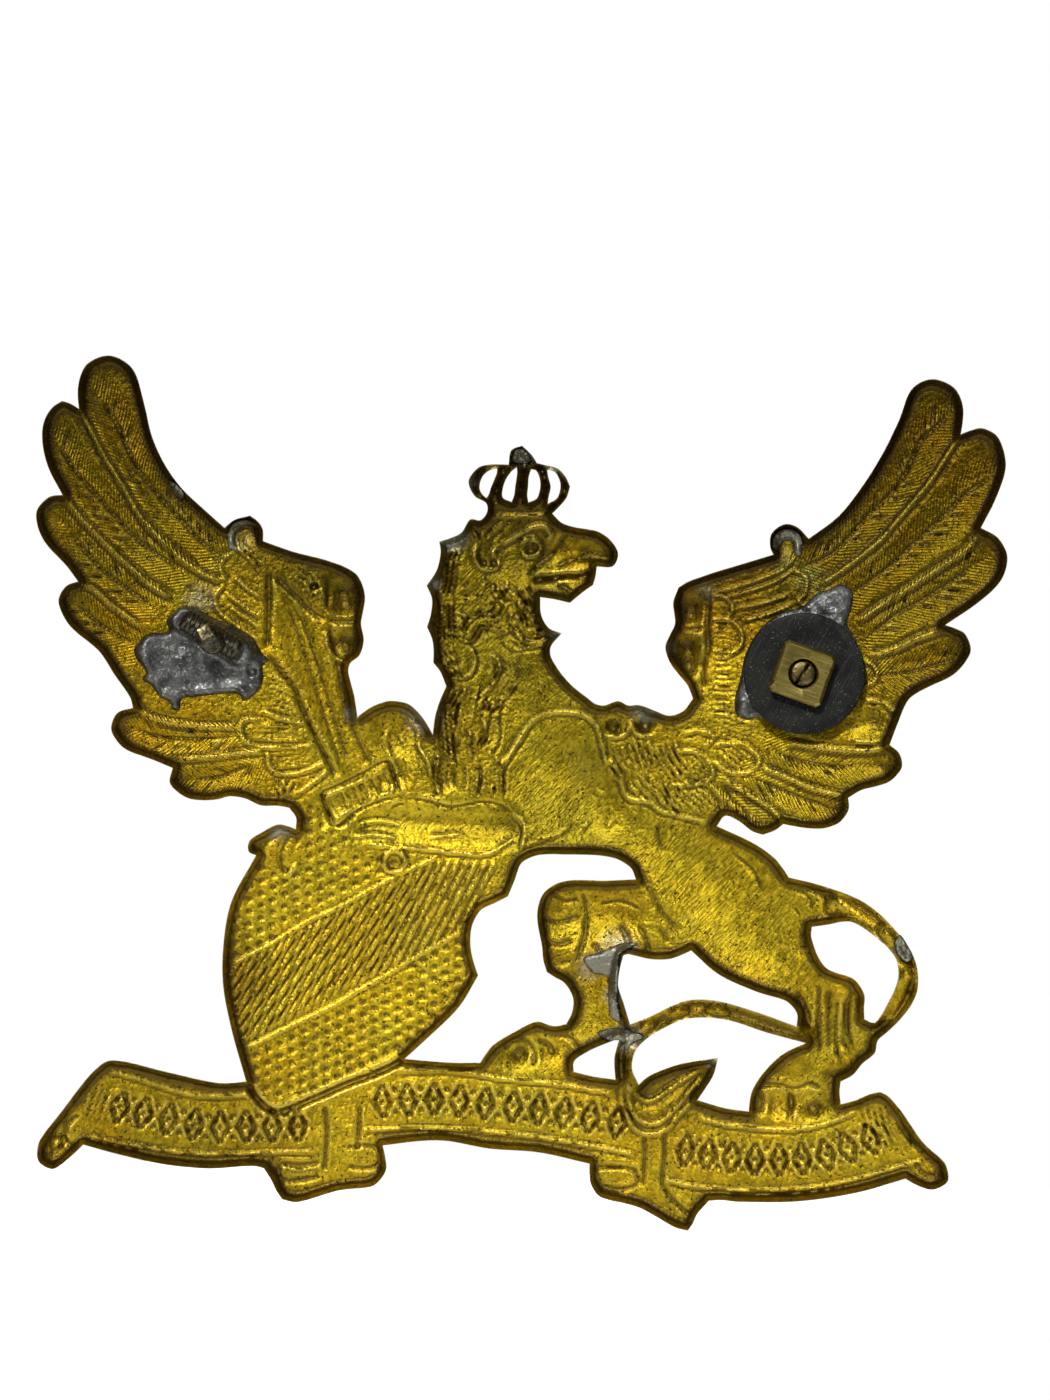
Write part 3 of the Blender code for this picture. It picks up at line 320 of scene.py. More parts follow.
        [(-18.6, -60.7), (-16, -60.4), (-14.4, -61), (-14.2, -62.4), (-15.6, -63.2), (-18.4, -63)],
        [(12.2, -62.4), (15, -62.2), (17.4, -62.6), (17.8, -64), (16, -64.9), (13, -64.6)]]),
    "ribbon": (0.26, 0.3, 0.5, 1.0, [
        [(25.1, 9.4), (28, 10.2), (31.4, 11.5), (33.6, 12.6), (35, 14.4)],
        [(26.6, 8.9), (29.6, 9.8), (32.6, 11), (34.7, 12.4)], [(27.6, 7.4), (31, 8.2), (34.4, 9.4)],
        [(28.6, 6), (31.6, 6.8), (34.8, 8.2)], [(-34.4, 13.4), (-32.8, 12), (-31, 10)],
        [(-33.6, 13.6), (-32, 12.2), (-30.4, 10.8)], [(-34.6, 9.6), (-32.6, 8), (-30.7, 7)],
        [(-35.6, 7.6), (-33, 5.8), (-30.8, 4.6)], [(-34.9, 5.8), (-32.4, 4.2), (-30.8, 3.2)]]),
    "curls": (0.34, 0.4, 0.5, 0.5, [
        [(-35.1, 13.4), (-35, 15.2), (-33.8, 16.3), (-32.2, 16), (-31.8, 14.8)],
        [(32.6, 14.9), (32.9, 16.6), (34.2, 17), (35.2, 16), (35.2, 14.4)]]),
}

# ---- hair: guide path, number of strands, spacing ----------------------------------------------------
HAIR = [
    ([(-4.5, 10.6), (-4.2, 9.4), (-5, 8.4), (-6.4, 8.2)], 4, 0.5),
    ([(-2.6, 9.4), (-3.2, 7.6), (-4.8, 6.7), (-6.6, 7)], 5, 0.5),
    ([(-5.4, 2.6), (-4.6, 4.4), (-3, 5.2), (-1.4, 4.6)], 4, 0.5),
    ([(-3.9, 2.4), (-3.4, 3.6), (-2.2, 3.4)], 3, 0.5),
    ([(0.4, 8.4), (0.1, 6.2), (-1.2, 4.6), (-2.6, 4.2)], 5, 0.5),
    ([(1.6, 8.2), (2.2, 6.2), (3.6, 4.8), (5.6, 4)], 4, 0.55),
    ([(0.6, 6.6), (0.9, 4.4), (2.4, 3.2), (4.8, 3.2)], 4, 0.5),
    ([(-0.4, 4.6), (-0.6, 3.2), (0.4, 2.2), (2, 2.3)], 3, 0.45),
    ([(-6.9, 5.6), (-6.4, 3.6), (-5, 3), (-4.4, 3.8)], 3, 0.5),
    ([(-5.6, 1.4), (-5, 0.2), (-5.4, -1.2), (-6.6, -1.4)], 4, 0.45),
    ([(-3.4, 0.4), (-2.2, 0.2), (-1.6, -1), (-2.4, -2)], 3, 0.5),
    ([(-0.4, 0.6), (-0.2, -1.6), (-1.4, -3.8), (-3.4, -5.4)], 5, 0.5),
    ([(-7.4, 14.4), (-8, 12.4), (-8.2, 10), (-8.6, 8)], 4, 0.6),
    ([(-8.4, 7.4), (-8.3, 4.8), (-8.2, 2.2)], 4, 0.6),
    ([(-8.2, 1.6), (-7.6, -0.6), (-6.8, -2.8)], 4, 0.55),
    ([(-6.8, -3.4), (-8, -6), (-7.8, -9), (-7.4, -12.4)], 5, 0.55),
    ([(-4.6, -3), (-5.2, -6), (-5.6, -9.4), (-5.2, -12.6)], 4, 0.5),
    ([(-7.6, -12), (-8, -14), (-7.4, -17)], 4, 0.5),
    ([(-2.2, -4.4), (-3.4, -6.6), (-3.6, -8.8), (-4.5, -10.6)], 4, 0.5),
    ([(-1.6, -4.4), (-2.2, -7), (-2, -9), (-2.8, -11.4)], 4, 0.5),
    ([(-4.4, -12.8), (-4.2, -14.6), (-4.5, -16.7)], 3, 0.5),
    ([(-2.4, -12.4), (-2.2, -14.4), (-2.5, -16.6)], 3, 0.5),
    ([(-0.9, -11.8), (-1, -14.2), (-0.8, -16.7)], 2, 0.5),
    ([(0.4, 4), (1.3, 2.5), (3.4, 2.4), (6, 3.9)], 2, 0.5),
    ([(-6.8, 16.4), (-5.6, 15.6), (-4.8, 14.2)], 4, 0.5),
    ([(-8.4, 13.6), (-7.4, 12.8), (-6.4, 13.2)], 4, 0.45),
    ([(-1.6, 10.4), (-1.4, 8.8), (-0.2, 7.6)], 4, 0.55), ([(1.2, 9.8), (1.8, 8.6), (2.8, 7.6)], 3, 0.5),
]

# ---- soft feathering, in the same way ------------------------------------------------------------------
FEATHERING = [
    ([(-14.4, -9), (-13.6, -10.6), (-13.2, -11.4)], 4, 0.5),
    ([(-11.8, -8.6), (-12.4, -10), (-12.9, -11.2)], 4, 0.5),
    ([(-12.9, -11.6), (-12.4, -13.4), (-11.6, -15.6)], 6, 0.5),
    ([(13, -10), (13.6, -12.2), (15, -13.6)], 4, 0.8), ([(16, -9), (17, -11.6), (17.4, -13)], 4, 0.8),
    ([(19.5, -9.4), (20.4, -11.6), (22, -13.4)], 4, 0.8),
    ([(22.4, -11), (23.6, -12.2), (24.6, -13.4)], 4, 0.6),
    ([(27, -9.8), (28.6, -11), (29.8, -12)], 4, 0.6), ([(16, -13.6), (17.2, -15), (18.6, -16.2)], 4, 0.8),
    ([(19.6, -14.2), (20.8, -16), (22.4, -17.4)], 5, 0.7),
    ([(22.8, -15.4), (24.2, -16.6), (25.4, -17.8)], 4, 0.7),
    ([(26.2, -6.8), (28.4, -7.6), (30.8, -8.2)], 5, 0.6), ([(25.2, 1), (26.4, 1), (27.4, 1.2)], 4, 0.7),
    ([(25.2, -1.6), (26.6, -1.8), (28, -1.6)], 5, 0.7),
    ([(25.2, -4.6), (26.6, -4.6), (28, -4.8)], 4, 0.7), ([(25.4, 7.4), (26.2, 7.2), (26.9, 6.8)], 3, 0.6),
    ([(25, 3.8), (26.4, 3.8), (27.8, 3.6)], 6, 0.6),
    ([(-29.6, -1.6), (-28.6, -2), (-27.4, -2.2)], 4, 0.6),
    ([(-29.9, -3.4), (-28.4, -3.8), (-26.8, -4.6)], 4, 0.6),
    ([(-30, -5.6), (-28.4, -6), (-26.4, -6.6)], 3, 0.6),
    ([(-32, -9.4), (-29, -9.6), (-25.6, -9.6)], 4, 0.55),
    ([(-28.8, -13), (-26.8, -12.8), (-24.2, -12.4)], 4, 0.55),
    ([(-28.6, -16), (-27.8, -17), (-27.6, -17.8)], 3, 0.8),
    ([(-26.4, -15.4), (-26.9, -16.2), (-27.2, -17.2)], 3, 0.8),
    ([(-27, 10.6), (-25, 9.4), (-24, 7)], 3, 0.7), ([(-35.8, 2.6), (-33.4, 1.6), (-31, 0.6)], 2, 0.6),
    ([(44.4, -5.4), (45.6, -5.4), (46.8, -5.6)], 5, 0.6),
    ([(-48.6, -53.8), (-49.4, -56), (-50, -58.2)], 4, 0.75),
    ([(46.6, -53.6), (47.4, -56.4), (48.6, -58.8)], 4, 0.75),
    ([(-26.6, -63.6), (-24.6, -64), (-22, -63.7)], 2, 0.5),
]

# ---- short fur: from, to, radius, strength -----------------------------------------------------------
FUR = [
    ((22, -22), (31, -31), 9.0, 1.0), ((32, -33), (36, -38), 5.0, 0.9), ((5, -13), (9, -17), 7.5, 0.7),
    ((10, -31), (14, -31), 5.0, 0.5), ((-4, 10), (-2, 2), 6.0, 0.5), ((0, -20.4), (-14, -20.4), 3.0, 0.4),
    ((2, -2), (6, -8), 5.0, 0.6), ((40, -42), (41, -48), 3.0, 0.5), ((38, -53), (39, -53), 5.0, 0.4),
    ((10, -40), (11, -46), 3.0, 0.4), ((3, -49), (8, -49), 3.0, 0.4), ((4, 14), (10, 14), 3.0, 0.3),
]

# ---- brightness and warmth of the brass, region by region: place, reach, brightness, warmth --------------
TONES = [
    ((0, 6), 9, 0.57, 0.25), ((8, -14), 9, 0.7, 0.15), ((28, -28), 9, 0.8, 0.3),
    ((40, -46), 7, 0.68, 0.45), ((38, -53), 3, 0.85, 0.35), ((10, -33), 6, 0.76, 0.55),
    ((-18, -34), 14, 0.93, 0.4), ((-20, -49), 5, 0.8, 0.5), ((-32, -40), 3, 0.48, 0.8),
    ((-38, -57), 9, 0.64, 0.6), ((0, -56), 12, 0.81, 0.45), ((36, -60), 12, 0.76, 0.55),
    ((53, -60), 3, 0.7, 0.6), ((-50, 26), 10, 0.44, 0.75), ((-51, 34), 5, 0.4, 0.85),
    ((-54, 13), 7, 0.54, 0.7), ((-45, 12), 6, 0.48, 0.5), ((-38, 6), 5, 0.7, 0.5),
    ((-50, 2), 5, 0.62, 0.9), ((-42, -12), 7, 0.74, 0.85), ((-30, -13), 6, 0.78, 0.55),
    ((-26, 2), 5, 0.82, 0.5), ((-24, 9), 4, 0.4, 0.35), ((-20, 5), 4, 0.62, 0.8),
    ((-32, 13), 4, 0.55, 0.5), ((50, 28), 9, 0.38, 0.95), ((52, 34), 5, 0.34, 1.0),
    ((57, 20), 8, 0.48, 0.8), ((44, 14), 7, 0.41, 0.8), ((52, 8), 7, 0.48, 0.75), ((50, 1), 5, 0.54, 0.9),
    ((28, 9), 6, 0.39, 1.0), ((22, 5), 4, 0.49, 1.0), ((27, 0), 5, 0.88, 0.6), ((42, -10), 7, 0.68, 0.5),
    ((24, -13), 6, 0.74, 0.4), ((16, -8), 4, 0.64, 0.5), ((9, 13), 4, 0.68, 0.7), ((1, 22), 4, 0.5, 0.75),
    ((0, 16), 4, 0.4, 0.5), ((1, 11.5), 3, 0.29, 0.4), ((-8, -8), 5, 0.62, 0.5), ((-15, -9), 5, 0.8, 0.3),
    ((45, -35), 6, 0.97, 0.65), ((26, -43), 6, 0.78, 0.7), ((20, -52), 5, 0.56, 0.6),
    ((-54, -61), 3, 0.8, 0.6),
]
# grey and green bloom on the brass: place, reach, amount of grey, amount of green
BLOOM = [
    ((-28, -21.4), 1.5, 0.8, 0.3), ((-7.6, 15.4), 1.8, 0.8, 0.1), ((-10, 9.6), 1.2, 0.7, 0.1),
    ((-10.8, 4.1), 0.9, 0.6, 0.2), ((-10.6, -6.8), 2.2, 0.6, 0.3), ((17, -5.2), 1.8, 0.6, 0.6),
    ((19.4, 2.5), 1.0, 0.7, 0.2), ((26.8, -48.6), 1.0, 0.8, 0.0), ((9.7, -12.8), 2.2, 0.0, 0.45),
    ((8, -12), 1.6, 0.0, 0.4), ((-19.4, -7), 1.0, 0.6, 0.2), ((37, 11.6), 2.2, 0.0, 0.9),
    ((33.6, 13.6), 1.8, 0.0, 0.8), ((-33.8, 13.8), 1.4, 0.1, 0.5), ((11, -37.5), 1.6, 0.55, 0.0),
    ((14.4, -35), 2.2, 0.55, 0.0), ((14, -41), 1.2, 0.6, 0.0), ((12.2, -49), 2.0, 0.45, 0.0),
    ((16, -46.2), 1.8, 0.6, 0.0), ((1, 26), 1.6, 0.8, 0.0), ((49.6, -34), 1.2, 0.6, 0.0),
    ((-38.6, 6.6), 2.0, 0.35, 0.0), ((-6, 22), 1.6, 0.45, 0.0), ((4.8, 24.3), 1.4, 0.5, 0.0),
    ((24, 9.4), 1.2, 0.15, 0.4), ((-12, 7.6), 1.0, 0.4, 0.2), ((5.6, 3.6), 0.9, 0.4, 0.1),
    ((-2.5, -46), 1.2, 0.2, 0.1),
]


# ---- plan geometry ---------------------------------------------------------------------------------
def smooth_path(points, step, closed=False):
    """Points every step or so along a centripetal Catmull-Rom curve through the given points."""
    knots = [np.array(p, float) for p in points]
    if closed:
        knots = [knots[-1]] + knots + knots[:2]
    else:
        knots = [2 * knots[0] - knots[1]] + knots + [2 * knots[-1] - knots[-2]]
    pieces = []
    for p0, p1, p2, p3 in zip(knots, knots[1:], knots[2:], knots[3:]):
        t1 = max(np.linalg.norm(p1 - p0), 1e-6) ** 0.5
        t2 = t1 + max(np.linalg.norm(p2 - p1), 1e-6) ** 0.5
        t3 = t2 + max(np.linalg.norm(p3 - p2), 1e-6) ** 0.5
        count = max(1, round(float(np.linalg.norm(p2 - p1)) / step))
        t = (t1 + (t2 - t1) * np.arange(count) / count)[:, None]
        a1 = (t1 - t) / t1 * p0 + t / t1 * p1
        a2 = (t2 - t) / (t2 - t1) * p1 + (t - t1) / (t2 - t1) * p2
        a3 = (t3 - t) / (t3 - t2) * p2 + (t - t2) / (t3 - t2) * p3
        b1 = (t2 - t) / t2 * a1 + t / t2 * a2
        b2 = (t3 - t) / (t3 - t1) * a2 + (t - t1) / (t3 - t1) * a3
        pieces.append((t2 - t) / (t2 - t1) * b1 + (t - t1) / (t2 - t1) * b2)
    if not closed:
        pieces.append(knots[-2][None, :])
    return np.concatenate(pieces)


def refine_loop(loop, step):
    """A loop resampled finely, smooth except at its real corners."""
    loop = np.array(loop)
    before = loop - np.roll(loop, 1, axis=0)
    after = np.roll(loop, -1, axis=0) - loop
    cross = before[:, 0] * after[:, 1] - before[:, 1] * after[:, 0]
    turn = np.degrees(np.abs(np.arctan2(cross, (before * after).sum(axis=1))))
    beside = (np.roll(turn, 1) + np.roll(turn, -1)) / 2
    corners = np.flatnonzero((turn > CORNER_TURN) & (turn > CORNER_RATIO * beside))
    if len(corners) < 2:
        return smooth_path(loop, step, closed=True)
    pieces = []
    for first, last in zip(corners, [*corners[1:], corners[0] + len(loop)]):
        run = loop[np.arange(first, last + 1) % len(loop)]
        pieces.append(smooth_path(run, step)[:-1])
    return np.concatenate(pieces)


def rim_loops(node):
    """The loops that bound a CAD node's hollow side, as plan points, longest first."""
    mesh = node.data
    mesh.calc_loop_triangles()
    places = np.array([vertex.co for vertex in mesh.vertices])
    triangles = np.array([triangle.vertices for triangle in mesh.loop_triangles])
    places, index = np.unique(np.round(places, 7), axis=0, return_inverse=True)
    triangles = index.reshape(-1)[triangles]
    a, b, c = (places[triangles[:, i]] for i in range(3))
    normal = np.cross(b - a, c - a)
    normal /= np.maximum(np.linalg.norm(normal, axis=1), 1e-15)[:, None]
    hollow_side = triangles[normal[:, 1] > 0.02]
    half_edges = {(int(t[i]), int(t[(i + 1) % 3])) for t in hollow_side for i in range(3)}
    following = {p: q for p, q in half_edges if (q, p) not in half_edges}
    loops = []
    while following:
        start, here = following.popitem()
        track = [start]
        while here != start:
            track.append(here)
            here = following.pop(here)
        loops.append([(-places[i][0] / MM, places[i][2] / MM) for i in track])
    return sorted(loops, key=len, reverse=True)


def spread_points(loops, step):
    """A triangular grid of points inside the loops, clear of them."""
    start = np.concatenate(loops)
    end = np.concatenate([np.roll(loop, -1, axis=0) for loop in loops])
    low, high = start.min(axis=0), start.max(axis=0)
    rows = []
    for row, v in enumerate(np.arange(low[1], high[1], step * math.sqrt(0.75))):
        crossed = (start[:, 1] < v) != (end[:, 1] < v)
        a, b = start[crossed], end[crossed]
        walls = np.sort(a[:, 0] + (v - a[:, 1]) / (b[:, 1] - a[:, 1]) * (b[:, 0] - a[:, 0]))
        u = np.arange(low[0] + (row % 2) * step / 2, high[0], step)
        u = u[np.searchsorted(walls, u) % 2 == 1]
        rows.append(np.stack([u, np.full(len(u), v)], axis=1))
    inner = np.concatenate(rows)
    return inner[edge_distance(inner, loops) > GRID_MARGIN * step]


def edge_distance(plan, loops):
    """Distance from each plan point to the loops."""
    spacing = 0.06
    fine = []
    for loop in loops:
        loop = np.asarray(loop)
        for a, b in zip(loop, np.roll(loop, -1, axis=0)):
            count = max(1, int(np.hypot(*(b - a)) / spacing))
            fine.append(a + (b - a) * (np.arange(count) / count)[:, None])
    fine = np.concatenate(fine)
    tree = KDTree(len(fine))
    for i, (u, v) in enumerate(fine):
        tree.insert((u, v, 0.0), i)
    tree.balance()
    return np.array([tree.find((u, v, 0.0))[2] for u, v in plan])


def fill(loops, inner):
    """All points (the loops' own first) and the anticlockwise triangles inside the loops."""
    rim = np.concatenate(loops)
    edges = []
    first = 0
    for loop in loops:
        edges += [(first + i, first + (i + 1) % len(loop)) for i in range(len(loop))]
        first += len(loop)
    plan = np.concatenate([rim, inner])
    filled = geometry.delaunay_2d_cdt([Vector(p) for p in plan], edges, [], 0, 1e-6)
    source = np.array([came_from[0] for came_from in filled[3]])
    triangles = source[np.array(filled[2])]
    all_rim = (triangles < len(rim)).all(axis=1)
    suspects = plan[triangles[all_rim]].mean(axis=1)
    start, end = rim, np.concatenate([np.roll(loop, -1, axis=0) for loop in loops])
    odd = np.zeros(len(suspects), bool)
    for (u0, v0), (u1, v1) in zip(start, end):
        if v0 != v1:
            crosses = (suspects[:, 1] < v0) != (suspects[:, 1] < v1)
            odd ^= crosses & (suspects[:, 0] < u0 + (suspects[:, 1] - v0) / (v1 - v0) * (u1 - u0))
    keep = np.ones(len(triangles), bool)
    keep[np.flatnonzero(all_rim)] = odd
    triangles = triangles[keep]
    a, b, c = (plan[triangles[:, i]] for i in range(3))
    area = (b[:, 0] - a[:, 0]) * (c[:, 1] - a[:, 1]) - (c[:, 0] - a[:, 0]) * (b[:, 1] - a[:, 1])
    triangles[area < 0] = triangles[area < 0][:, ::-1]
    return plan, triangles, edges


def eased(x):
    """Smooth rise from 0 to 1."""
    x = np.clip(x, 0.0, 1.0)
    return x * x * (3 - 2 * x)


def path_distance(plan, path):
    """For each point: distance to the path and the length along it there."""
    nearest = np.full(len(plan), np.inf)
    along = np.zeros(len(plan))
    passed = 0.0
    for a, b in zip(path, path[1:]):
        edge = b - a
        length = max(np.hypot(*edge), 1e-9)
        t = np.clip(((plan - a) @ edge) / length ** 2, 0.0, 1.0)
        gap = plan - a - t[:, None] * edge
        distance = np.hypot(gap[:, 0], gap[:, 1])
        closer = distance < nearest
        nearest = np.where(closer, distance, nearest)
        along = np.where(closer, passed + t * length, along)
        passed += length
    return nearest, along, passed


def beside(path, distance):
    """A path moved sideways."""
    path = np.asarray(path, float)
    along = np.gradient(path, axis=0)
    along /= np.maximum(np.linalg.norm(along, axis=1), 1e-9)[:, None]
    return path + distance * np.stack([-along[:, 1], along[:, 0]], axis=1)


def capsule(plan, start, end, radius):
    """1 on a line between two points, easing to 0 at a radius."""
    start = np.array(start, float)
    axis = np.array(end, float) - start + 1e-9
    t = np.clip(((plan - start) @ axis) / (axis @ axis), 0.0, 1.0)
    gap = plan - start - t[:, None] * axis
    return 1 - eased(np.hypot(gap[:, 0], gap[:, 1]) / radius)


# ---- relief ------------------------------------------------------------------------------------------
class Relief:
    """Heights and surface marks over a set of plan points."""

    def __init__(self, plan, loops, finest):
        self.plan = plan
        self.finest = finest
        self.rim = edge_distance(plan, loops)
        self.fade = eased(self.rim / RIM_FADE)
        depth = np.full(len(plan), RELIEF)
        for start, end, radius, extra in FORMS:
            depth += extra * capsule(plan, start, end, radius)
        self.height = plan[:, 0] ** 2 / (2 * BOW_RADIUS) - eased(self.rim / WALL) * depth
        self.grain = np.zeros(len(plan))
        self.grain_amount = np.zeros(len(plan))
        self.fur = np.zeros(len(plan))

    def near(self, points, reach):
        """Indices of the plan points in the box around some points."""
        points = np.asarray(points)
        low, high = points.min(axis=0) - reach, points.max(axis=0) + reach
        return np.flatnonzero(((self.plan > low) & (self.plan < high)).all(axis=1))

    def line(self, points, half_width, height, flank=0.0, taper=1.0):
        """A rounded line, raised or sunk; flank sinks a groove along both its sides."""
        half_width = max(half_width, self.finest)
        path = smooth_path(points, 0.5)
        here = self.near(path, 4 * half_width)
        distance, along, length = path_distance(self.plan[here], path)
        ends = eased(np.minimum(along, length - along) / taper + 0.15)
        shape = np.exp(-(distance / half_width) ** 2)
        shape -= flank * np.exp(-((distance - 1.9 * half_width) / (0.75 * half_width)) ** 2)
        self.height[here] += height * ends * shape * self.fade[here]

    def dot(self, centre, radius, height, hardness=4):
        """A round pit or pearl."""
        here = self.near([centre], 2 * radius)
        distance = np.hypot(*(self.plan[here] - centre).T)
        self.height[here] += height * np.exp(-(distance / radius) ** hardness) * self.fade[here]

    def barbs(self, quill, half_width):
        """Fine barbs that leave a quill towards the feather's tip, with a few splits."""
        path = smooth_path(quill[::-1], 0.6)
        lead = 3.5 * (path[-1] - path[-3]) / np.hypot(*(path[-1] - path[-3]))
        tail = 2.0 * (path[0] - path[2]) / np.hypot(*(path[0] - path[2]))
        whole = np.concatenate([[path[0] + tail], path, [path[-1] + lead]])
        here = self.near(whole, half_width + 1)
        distance, along, length = path_distance(self.plan[here], whole)
        amount = 1 - eased((distance - half_width + 0.9) / 0.9)
        amount *= eased(along / 2) * eased((length - along) / 2)
        stronger = amount > self.grain_amount[here]
        chosen = here[stronger]
        self.grain[chosen] = (along - 1.1 * distance)[stronger]
        self.grain_amount[chosen] = amount[stronger]
        heading = np.gradient(path, axis=0)
        heading /= np.linalg.norm(heading, axis=1)[:, None]
        for i in range(2, len(path) - 1, 3):
            side = RANDOM.choice((-1.0, 1.0))
            outward = side * np.array([-heading[i][1], heading[i][0]])
            start = path[i] + 0.15 * outward
            reach = RANDOM.uniform(1.4, 3.4)
            tip = start + reach * (0.8 * heading[i] + 0.6 * outward)
            self.line([start, (start + tip) / 2 + 0.1 * outward, tip], 0.2, -0.26, 0.3, 1.2)

    def hair(self, guide, count, spacing, depth):
        """Several strands beside a guide path, each a raised line between grooves."""
        guide = smooth_path(guide, 0.7)
        for i in range(count):
            strand = beside(guide, (i - (count - 1) / 2) * spacing)
            self.line(strand, 0.2, depth * RANDOM.uniform(0.8, 1.2), 0.7, 0.8)


def shield_pattern(relief):
    """Staggered pits in both fields and slanting ribs across the band between them."""
    upper = np.array([(-8.4, -24.5), (-13.3, -26.9), (-20.6, -31.2), (-26.4, -34.4), (-33.3, -38.3)])
    lower = np.array([(-5.0, -33.6), (-10.6, -36.9), (-17.8, -41.4), (-26.4, -46.2), (-31.0, -48.7)])
    point = np.array([(-2.0, -40.0), (-6.0, -45.2), (-11.5, -49.6), (-15.0, -51.4), (-18.9, -53.0),
                      (-23.0, -54.9), (-27.4, -56.6), (-29.6, -55.2), (-30.9, -53.3)])
    relief.line(point[2:], 0.38, -0.55, 0.3, 0.6)

    def on_line(line, u):
        return np.interp(u, line[::-1, 0], line[::-1, 1])

    across, down, stagger = 1.45, 1.55, 0.78
    for column in range(24):
        u = -32.9 + across * column
        for row in range(30):
            v = -18.6 - down * row - stagger * (column % 2)
            above = v > on_line(upper, u) + 0.7 and u < -8.5
            below = on_line(point, u) + 0.9 < v < on_line(lower, u) - 0.7
            on_paw = u > -20.6 + 0.5 * (v + 24) and v > -24.3
            on_guard = v > -21.2 - 0.46 * (u + 21) and u > -24
            on_claws = u < -25.2 and v > -26
            if (above and not (on_paw or on_guard or on_claws)) or below:
                relief.dot((u, v), 0.48, -0.17, 6)
    lean = np.array([-0.44, -0.90])
    rib_spacing = 1.12
    for i in range(34):
        top = np.array([-1.2 - rib_spacing * i, 0.0])
        top[1] = min(on_line(upper, top[0]), -24.6) - 0.3
        reach = 1.0
        while reach < 16 and (top + reach * lean)[1] > on_line(lower, (top + reach * lean)[0]) + 0.4:
            reach += 0.3
        if reach > 1.5:
            relief.line([top, top + 0.5 * reach * lean, top + reach * lean], 0.22, 0.2, 0.35, 0.4)
    stone = (-13.6, -25.1)
    ring = 1.35 * np.array([(math.cos(a), math.sin(a)) for a in np.linspace(0, 2 * math.pi, 25)])
    relief.line(ring + stone, 0.24, 0.3, 0.5, 0.01)
    relief.dot(stone, 0.6, -0.3, 2)


def scroll_pattern(relief):
    """A running ornament of lozenges and beads between the scroll's borders."""
    panels = [
        ([(-46.6, -56.4), (-41.4, -57.6), (-36, -58.5), (-30, -58.4), (-24.6, -58.2)], 8),
        ([(-14.2, -54.9), (-8, -54.4), (0, -54.9), (8, -55.6), (15, -56.6)], 10),
        ([(23.6, -59.8), (28, -60.4), (34, -60.6), (40, -60.0), (46.4, -57.6)], 9),
    ]
    for guide, count in panels:
        path = smooth_path(guide, 0.2)
        picks = np.linspace(0, len(path) - 1, count).astype(int)
        for order, i in enumerate(picks):
            ahead = path[min(i + 4, len(path) - 1)] - path[max(i - 4, 0)]
            ahead /= np.hypot(*ahead)
            upward = np.array([-ahead[1], ahead[0]]) * math.copysign(1, ahead[0])
            centre = path[i]
            tall = 2.0 * upward
            broad = 1.05 * ahead
            corners = [centre + tall, centre + broad, centre - tall, centre - broad]
            for a, b in zip(corners, corners[1:] + corners[:1]):
                relief.line([a, (a + b) / 2, b], 0.28, -0.34, 0.45, 0.2)
            relief.dot(centre, 0.42, -0.3, 3)
            if order + 1 < len(picks):
                middle = path[(i + picks[order + 1]) // 2]
                relief.dot(middle + 1.3 * upward, 0.34, -0.24, 3)
                relief.dot(middle - 1.3 * upward, 0.34, -0.24, 3)


def crown_beads(relief):
    """Pearls along the four inner arches and teeth along the crown's band."""
    arches = [
        [(-2.4, 20.6), (-2.3, 22.2), (-1.4, 23.6), (0.2, 24.4)], [(0.7, 20.4), (0.7, 22), (0.7, 24)],
        [(3.5, 20.4), (3.6, 22), (3, 23.6), (1.8, 24.5)],
        [(-4.4, 20.2), (-5.3, 21.6), (-4.8, 23), (-3.2, 24.1)],
        [(5.6, 20.4), (6.2, 21.9), (5.6, 23.4), (4, 24.4)],
    ]
    for arch in arches:
        path = smooth_path(arch, 0.7)
        for point in path:
            relief.dot(point, 0.28, 0.4, 2)
    for i in range(12):
        relief.dot((-2.6 + 0.6 * i, 18.75), 0.2, -0.3, 2)


def struck_relief(plan, loops, finest):
    """The whole relief of the stamping over some plan points."""
    relief = Relief(plan, loops, finest)
    for guide, count, spacing in HAIR:
        relief.hair(guide, count, spacing, HAIR_HEIGHT)
    for guide, count, spacing in FEATHERING:
        relief.hair(guide, count, spacing, FEATHERING_HEIGHT)
    for quill in QUILLS:
        relief.line(quill, 0.22, -0.22, 0.4, 2.0)
        relief.barbs(quill, BARB_REACH)
    for seam in SEAMS:
        relief.line(seam, 0.34, 0.19, 0.9, 1.5)
    for half_width, height, flank, taper, paths in LINES.values():
        for path in paths:
            relief.line(path, LINE_WIDTH * half_width, LINE_HEIGHT * height, flank, taper)
    shield_pattern(relief)
    scroll_pattern(relief)
    crown_beads(relief)
    for start, end, radius, strength in FUR:
        relief.fur = np.maximum(relief.fur, strength * capsule(plan, start, end, radius))
    relief.dot(SHOULDER_PIT, 0.42, -0.9, 4)
    relief.dot(PUPIL, 0.3, 0.35, 2)
    return relief


# ---- meshes ------------------------------------------------------------------------------------------
def world_points(plan, height):
    """Plan points at heights, as places in metres."""
    return np.stack([-plan[:, 0], height, plan[:, 1]], axis=1) * MM


def add_piece(name, places, faces, material, smooth_angle=50):
    """A mesh object from places in metres."""
    mesh = bpy.data.meshes.new(name)
    mesh.from_pydata(np.asarray(places, float).tolist(), [], faces)
    mesh.materials.append(material)
    mesh.shade_smooth()
    mesh.set_sharp_from_angle(angle=math.radians(smooth_angle))
    piece = bpy.data.objects.new(name, mesh)
    bpy.context.scene.collection.objects.link(piece)
    return piece


